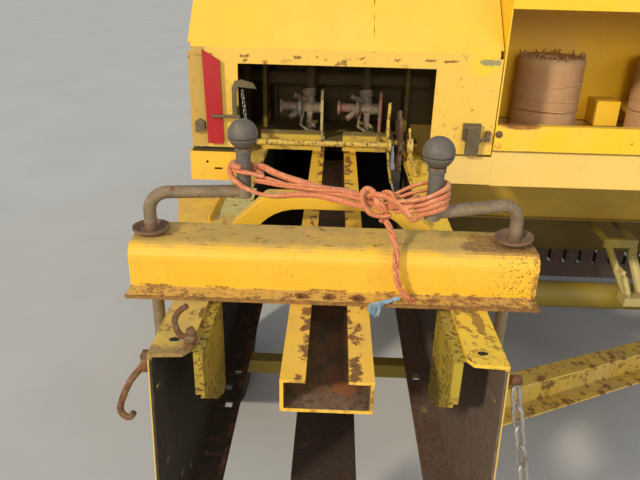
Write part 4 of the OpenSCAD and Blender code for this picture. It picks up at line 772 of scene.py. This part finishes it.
# ---- Twine ----
orange = twine_finish("orange_twine", (0.66, 0.215, 0.080), (0.36, 0.090, 0.032), (0.76, 0.36, 0.18))
blue = twine_finish("blue_twine", (0.25, 0.38, 0.46), (0.13, 0.23, 0.31), (0.48, 0.58, 0.60))
string = twine_finish("ball_string", (0.50, 0.33, 0.15), (0.36, 0.20, 0.07), (0.66, 0.50, 0.30))

# Routes of the lashing between the handles, its tail and the light tie, machine millimetres.
LASH = (
    (-125.65, 246.56, 1205.5), (-108, 238, 1206), (-80, 232, 1202), (-50, 230, 1199), (-20, 228, 1196),
    (10, 226, 1194), (36, 222, 1190), (56, 217, 1184), (73, 214, 1178), (92, 207, 1180),
    (110, 201, 1186), (130.2, 186.21, 1202.5))
TAIL = (
    (84, 210, 1161), (91, 203, 1146), (99, 190, 1129), (102, 176, 1114), (102, 167, 1094),
    (106, 162, 1072), (115, 160, 1054), (126, 158, 1043))
TIE = (
    (112, 160, 1042.1), (102, 158, 1040.1), (92, 152, 1040.1), (80, 146, 1039.1), (72, 141, 1032.1))

# Turns of twine round the handles and the knot, machine millimetres.
STRANDS = {
    "left_upper": (
        (-150, 243, 1224), (-164, 254, 1226), (-162, 270, 1226), (-149, 277, 1222), (-133, 274, 1220),
        (-115, 266, 1219), (-98, 254, 1215), (-72, 244, 1209), (-45, 238, 1202), (-10, 232, 1197),
        (27, 226, 1195), (52, 221, 1190)),
    "left_lower": (
        (-136, 280, 1216), (-152, 279, 1222), (-167, 266, 1225), (-168, 250, 1212), (-151, 236, 1199),
        (-131, 226, 1192), (-110, 222, 1187), (-90, 221, 1186), (-59, 222, 1189), (-29, 222, 1189),
        (0, 220, 1185), (27, 216, 1180), (50, 212, 1176)),
    "left_wrap": (
        (-112, 240, 1212), (-130, 240, 1216), (-146, 242, 1218), (-161, 249, 1218), (-164, 262, 1217),
        (-156, 274, 1215), (-142, 276, 1214), (-130, 268, 1212), (-116, 256, 1210)),
    "right_a": (
        (84, 212, 1192), (117, 212, 1210), (138, 209, 1219), (155, 206, 1224), (168, 202, 1226),
        (175, 190, 1226), (170, 176, 1224), (156, 168, 1218), (136, 172, 1207), (113, 188, 1197), (88, 204, 1190)),
    "right_b": (
        (86, 212, 1186), (122, 208, 1203), (140, 206, 1208), (155, 207, 1212), (169, 203, 1215), (176, 190, 1215),
        (171, 176, 1213), (156, 168, 1208), (137, 171, 1198), (119, 188, 1188), (98, 200, 1182)),
    "right_c": (
        (84, 210, 1180), (122, 208, 1192), (140, 206, 1198), (155, 207, 1203), (169, 203, 1206), (176, 190, 1206),
        (171, 176, 1204), (156, 168, 1199), (138, 171, 1190), (121, 187, 1181), (98, 201, 1174)),
    "right_d": (
        (108, 203, 1180), (130, 205, 1188), (150, 207, 1194), (167, 204, 1197), (175, 190, 1196), (170, 176, 1194),
        (155, 169, 1189), (136, 175, 1180), (131, 184, 1170), (124, 190, 1164), (117, 194, 1170)),
    "knot_loop": (
        (92, 204, 1168), (76, 200, 1166), (60, 198, 1171), (49, 200, 1184), (45, 206, 1198), (52, 212, 1206),
        (62, 211, 1203), (68, 205, 1193), (72, 200, 1182), (80, 201, 1172)),
    "knot_band": (
        (58, 216, 1194), (70, 206, 1199), (86, 200, 1197), (104, 195, 1186), (124, 190, 1170)),
    "knot_over": (
        (84, 216, 1186), (80, 205, 1204), (88, 198, 1206), (95, 197, 1196), (92, 200, 1182), (84, 208, 1176)),
    "knot_foot": (
        (70, 206, 1190), (80, 199, 1184), (84, 202, 1172), (80, 206, 1162), (77, 208, 1154)),
}
# Radius of a turn in metres, and of the wider ones.
TURN_RADIUS = 0.0042
WIDE_TURNS = {"knot_band": 0.0072, "left_upper": 0.0056, "left_lower": 0.0047, "knot_loop": 0.0048}


def loops_piece():
    """Turns round both handles, the open knot and the loose turns beside the lashing."""
    part = Part()
    for k, (name, line) in enumerate(STRANDS.items()):
        wide = WIDE_TURNS.get(name, TURN_RADIUS)
        part.tube(route(line, 0.0045), lambda t: wide * (1 + 0.09 * math.sin(23 * t + k)), 18, flat=0.66,
                  turn=0.05, lobes=6, lay=0.03)
    return part.piece("twine_wraps", orange, "chassis", "orange_twine")


lash_line = route(LASH, 0.005)
part = Part()
laid_strands(part, lash_line, bundle=0.0038, strand=0.0035, count=4, turns=0.9, seed=7)
lashing = part.piece("twine_lashing", orange, "chassis", "orange_twine")
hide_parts("lashing_twine")
wraps = loops_piece()
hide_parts("twine_loops")
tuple(lash_line[0])
round(length_of(lash_line), 3)


def frayed(part, line, count, radius, reach, back, seed):
    """Loose fibres that fan out past the end of a line, from the ring that lies back rings before it."""
    rnd = random.Random(seed)
    for k in range(count):
        start = line[-back] + Vector([rnd.uniform(-1, 1) for c in "xyz"]) * radius
        tip = line[-1] + Vector([rnd.uniform(low, high) / MM for low, high in reach])
        bend = line[-back // 2] + (tip - line[-1]) * 0.35 + Vector([rnd.uniform(-1, 1) for c in "xyz"]) * 0.0012
        part.tube(curve_through([start, bend, tip], 0.004), rnd.uniform(0.0006, 0.0011), 4, flat=0.5)


def hanging(name, node, places, step, strands, finish, colour, fray):
    """A free end of twine as laid strands, with its frayed fibres as a piece of their own.

    strands is the radius of their circle, a strand's own radius, their count and their turns.
    fray is the count of fibres, the reach of their tips in millimetres, and the ring where they start.
    """
    line = route(places, step)
    part = Part()
    laid_strands(part, line, *strands, seed=11)
    piece = part.piece(name, finish, "chassis", colour)
    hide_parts(node)
    part = Part()
    fibres, reach, back = fray
    frayed(part, line, fibres, strands[0], reach, back, seed=3)
    end = part.piece(name + "_fray", finish, "chassis", colour)
    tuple(line[0])
    round(length_of(line), 3)


hanging("twine_tail_strands", "twine_tail", TAIL, 0.005, (0.0030, 0.0030, 3, 2.6), orange, "orange_twine",
        (40, ((-2, 10), (-9, 3), (-7, 3)), 4))
hanging("blue_tie_strands", "blue_tie", TIE, 0.003, (0.0018, 0.0019, 4, 0.8), blue, "blue_twine",
        (150, ((-12, 5), (-11, 4), (-12, 9)), 9))


# ---- Small parts ----
BALLS = (665, 1038, 1292)               # centres of the twine balls, across
BALL_S, BALL_FOOT, BALL_RADIUS = 1290, 964, 101.2
BALL_TOP = BALL_FOOT + 316
WINDINGS = ((236, 15, 1.9), (160, -9, 0.6), (70, 12, 2.6), (196, 4, 4.0))   # height, lean, way of the lean


def sheet(part, corners, depth):
    """Plate from a loop of machine places, deep by that many millimetres along each axis."""
    part.slab([at(*c) for c in corners], Vector([d / MM for d in depth]))


def upright(part, x0, x1, s, z0, z1, depth):
    """Upright plate across the machine."""
    sheet(part, ((x0, s, z0), (x1, s, z0), (x1, s, z1), (x0, s, z1)), (0, depth, 0))


def level(part, x0, x1, s0, s1, z, depth):
    """Level plate."""
    sheet(part, ((x0, s0, z), (x1, s0, z), (x1, s1, z), (x0, s1, z)), (0, 0, depth))


def ball_strings():
    """String wound round each wrapped ball, and torn paper and fibre at its top."""
    part = Part()
    torn = Part()
    rnd = random.Random(9)
    for cx in BALLS:
        for h, lean, way in WINDINGS:
            part.tube([at(cx + BALL_RADIUS * math.cos(a), BALL_S + BALL_RADIUS * math.sin(a),
                          BALL_FOOT + h + lean * math.sin(a + way))
                       for a in (CIRCLE * j / 40 for j in range(40))], 0.0013, 5, closed=True)
        for k in range(110):
            a = rnd.uniform(0, 6.3)
            r = BALL_RADIUS - 4
            low = at(cx + r * math.cos(a), BALL_S + r * math.sin(a), BALL_TOP)
            out = Vector((math.cos(a), math.sin(a), 0))
            rise, lean = rnd.uniform(3, 20) / MM, rnd.uniform(-26, 3) / MM
            side = Vector((-math.sin(a), math.cos(a), 0)) * rnd.uniform(-14, 14) / MM
            bend = low + Vector((0, 0, rise)) + out * lean * 0.4 + side * 0.4
            tip = low + Vector((0, 0, rise * 0.8)) + out * lean + side
            torn.tube([low, bend, tip], rnd.uniform(0.0006, 0.0022), 4, flat=0.25)
        for k in range(26):
            # Inner turns of the ball round its open core.
            r = 30 + 2.4 * k
            way = rnd.uniform(0, 6.3)
            z = BALL_TOP + 2 - 0.04 * abs(r - 60)
            torn.tube([at(cx + r * math.cos(a), BALL_S + r * math.sin(a), z + 2.5 * math.sin(3 * a + way))
                       for a in (CIRCLE * j / 30 for j in range(30))], 0.0017, 4, closed=True)
    part.piece("ball_strings", string, "chassis", "paper_wrap")
    torn.piece("ball_tops", string, "chassis", "paper_wrap")


ball_strings()


def link_chain(part, start, end, length, width, wire):
    """Oval links from start to end, each turned a quarter from the last."""
    run = end - start
    count = max(1, int(run.length / (length - 2.2 * wire)))
    ahead = run.normalized()
    side = ahead.orthogonal().normalized()
    over = ahead.cross(side)
    bow = width / 2 - wire / 2
    for k in range(count):
        mid = start + run * ((k + 0.5) / count)
        across_link = side if k % 2 else over
        pts = []
        for j in range(20):
            a = CIRCLE * j / 20
            half = (length / 2 - width / 2) * (1 if math.cos(a) > 0 else -1)
            pts.append(mid + ahead * (half + bow * math.cos(a)) + across_link * (bow * math.sin(a)))
        part.tube(pts, wire / 2, 6, closed=True)


part = Part()
link_chain(part, at(-254, 975, 1212), at(-244, 978, 1112), length=0.016, width=0.010, wire=0.0024)
part.piece("latch_chain", steel, "hood", "bare_steel")


def bolts(name, finish, slot, z):
    """A bolt at each end of the twine box's rear face."""
    part = Part()
    for x in (453, 1466):
        part.bolt(at(x, BOX_FACE, z), Vector(TO_REAR), 0.013)
    part.piece(name, finish, "chassis", slot, smooth=False)


bolts("box_bolts", rusty, "rusty_steel", 1110)
bolts("painted_bolts", yellow, "yellow_paint", 1079)

part = Part()
sheet(part, ((-240, 512, 1030), (-178, 520, 1030), (-182, 690, 1030), (-232, 694, 1030), (-246, 600, 1030)),
      (0, 0, 3))
pale_plate = paint("pale_plate", (0.50, 0.41, 0.125), (0.56, 0.47, 0.20), 1.0, 1.0, 0.0, 0.6, extra=plate_wear)
part.piece("bare_plate", pale_plate, "chassis", "faded_yellow", smooth=False, bevel=0.0006)


def arch_piece():
    """Folded arch with a rounded opening, in the place of its plain solid."""
    inner = [(150, -2), (143, 8), (132, 18), (118, 27), (102, 34), (82, 38.5), (60, 40)]
    outer = [(208, 0), (142, 62.5), (138, 66), (132, 68)]
    rim = outer + [(-x, z) for x, z in outer[::-1]] + [(-x, z) for x, z in inner] + inner[::-1]
    part = Part()
    sheet(part, [(x, 465, 1030 + max(z, 0)) for x, z in rim], (0, 40, 0))
    piece = part.piece("arch_band", paint("arch_paint", WARM, dirt=0.6, specks=0.6, grime_up=0.7), "chassis",
                       "yellow_paint", smooth=False, bevel=0.0012)
    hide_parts("arch_bridge")


arch_piece()

# Folded panel between the hood's corner and the twine box.
part = Part()
sheet(part, ((256, 984, 962), (446, 984, 960), (446, 984, 1044), (256, 984, 1044)), (0, 3, 0))
sheet(part, ((256, 984, 962), (446, 984, 960), (446, 1010, 960), (256, 1010, 962)), (0, 0, 3))
part.piece("corner_panel", bright, "chassis", "yellow_paint", smooth=False, bevel=0.0008)

# Dark sheets that close the space behind and below the knotters: painted shade, put where there is only shade.
part = Part()
upright(part, -384, 432, 1412, 1030, 1216, 2)
for x in (-300, -210, -92, 20, 62, 150, 236):
    upright(part, x, x + 14, 1396, 1034, 1214, 17)
level(part, -384, -250, 1000, 1412, 1030, 2)
upright(part, -400, -250, 1000, 954, 1044, 2)
part.piece("knotter_screen", shade, "chassis", "dark_iron", smooth=False)

# Routes of the two bent hooks.
UPPER_HOOK = (
    (-194, 33, 1050), (-199, 33, 1040), (-206, 33, 1038), (-213, 33, 1045), (-217, 33, 1063), (-211, 33, 1078),
    (-198, 33, 1089))
SIDE_HOOK = (
    (-256, 20, 1012), (-266, 20, 994), (-286, 20, 966), (-302, 20, 930), (-305, 20, 914), (-300, 20, 904),
    (-292, 20, 902), (-286, 20, 910))


def smooth_hooks():
    """Bent hooks of the walls as smooth bars, with their lugs and the chain's peg."""
    part = Part()
    for places, radius in ((UPPER_HOOK, 0.0045), (SIDE_HOOK, 0.005)):
        part.tube(route(places, 0.004), radius, 10)
    level(part, -204, -188, 26, 40, 1030, 12)
    upright(part, -264, -250, 12, 990, 1018, 16)
    part.tube([at(250, 12, 1000), at(272, 12, 1000)], 0.007, 14)
    part.tube([at(-192, 33, 1042), at(-197, 33, 1052)], 0.006, 10)
    piece = part.piece("wall_hook_bars", rusty, "chassis", "rusty_rod")
    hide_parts("wall_hooks")


smooth_hooks()


# ---- Floor and light ----
FLOOR_HALF = 40         # metres from its middle to its sides
FLOOR_DEPTH = 0.02

part = Part()
part.slab([Vector((x, y, -FLOOR_DEPTH)) for x, y in (
    (-FLOOR_HALF, -FLOOR_HALF), (FLOOR_HALF, -FLOOR_HALF), (FLOOR_HALF, FLOOR_HALF), (-FLOOR_HALF, FLOOR_HALF))],
          Vector((0, 0, FLOOR_DEPTH)))
bmesh.ops.recalc_face_normals(part.bm, faces=part.bm.faces[:])
mesh = bpy.data.meshes.new("floor")
part.bm.to_mesh(mesh)
part.bm.free()
floor = bpy.data.objects.new("floor", mesh)
scene.collection.objects.link(floor)
ground = Finish("pale_floor", (0.50, 0.49, 0.46), 0.85, level=0.2)
ground.layer(ground.step(ground.noise(1.4), 0.4, 0.65), (0.46, 0.45, 0.42), 0.88, 0.6)
mesh.materials.append(ground.done())

world = bpy.data.worlds.new("soft_fill")
world.use_nodes = True
sky = world.node_tree.nodes["Background"]
sky.inputs["Color"].default_value = (0.80, 0.87, 1.0, 1)
sky.inputs["Strength"].default_value = 0.55
scene.world = world


def lamp(name, kind, energy, colour, place, aim, size):
    """A lamp at place that looks at aim; size is a sun's angle or an area's width."""
    data = bpy.data.lights.new(name, kind)
    data.energy = energy
    data.color = colour
    if kind == "SUN":
        data.angle = size
    else:
        data.size = size
    obj = bpy.data.objects.new(name, data)
    scene.collection.objects.link(obj)
    obj.location = place
    obj.rotation_euler = (Vector(aim) - Vector(place)).to_track_quat("-Z", "Y").to_euler()


lamp("key", "SUN", 2.5, (1.0, 0.90, 0.72), (-6.0, -6.5, 5.0), (0, 0, 0), math.radians(5))
lamp("front", "SUN", 0.75, (1.0, 0.92, 0.78), (-1.2, -9.0, 1.9), (0, 0, 0), math.radians(14))
lamp("fill", "AREA", 90, (0.95, 0.97, 1.0), (2.5, -5.5, 4.0), (0, -1.5, 0.8), 3.5)
scene.view_settings.view_transform = "Standard"
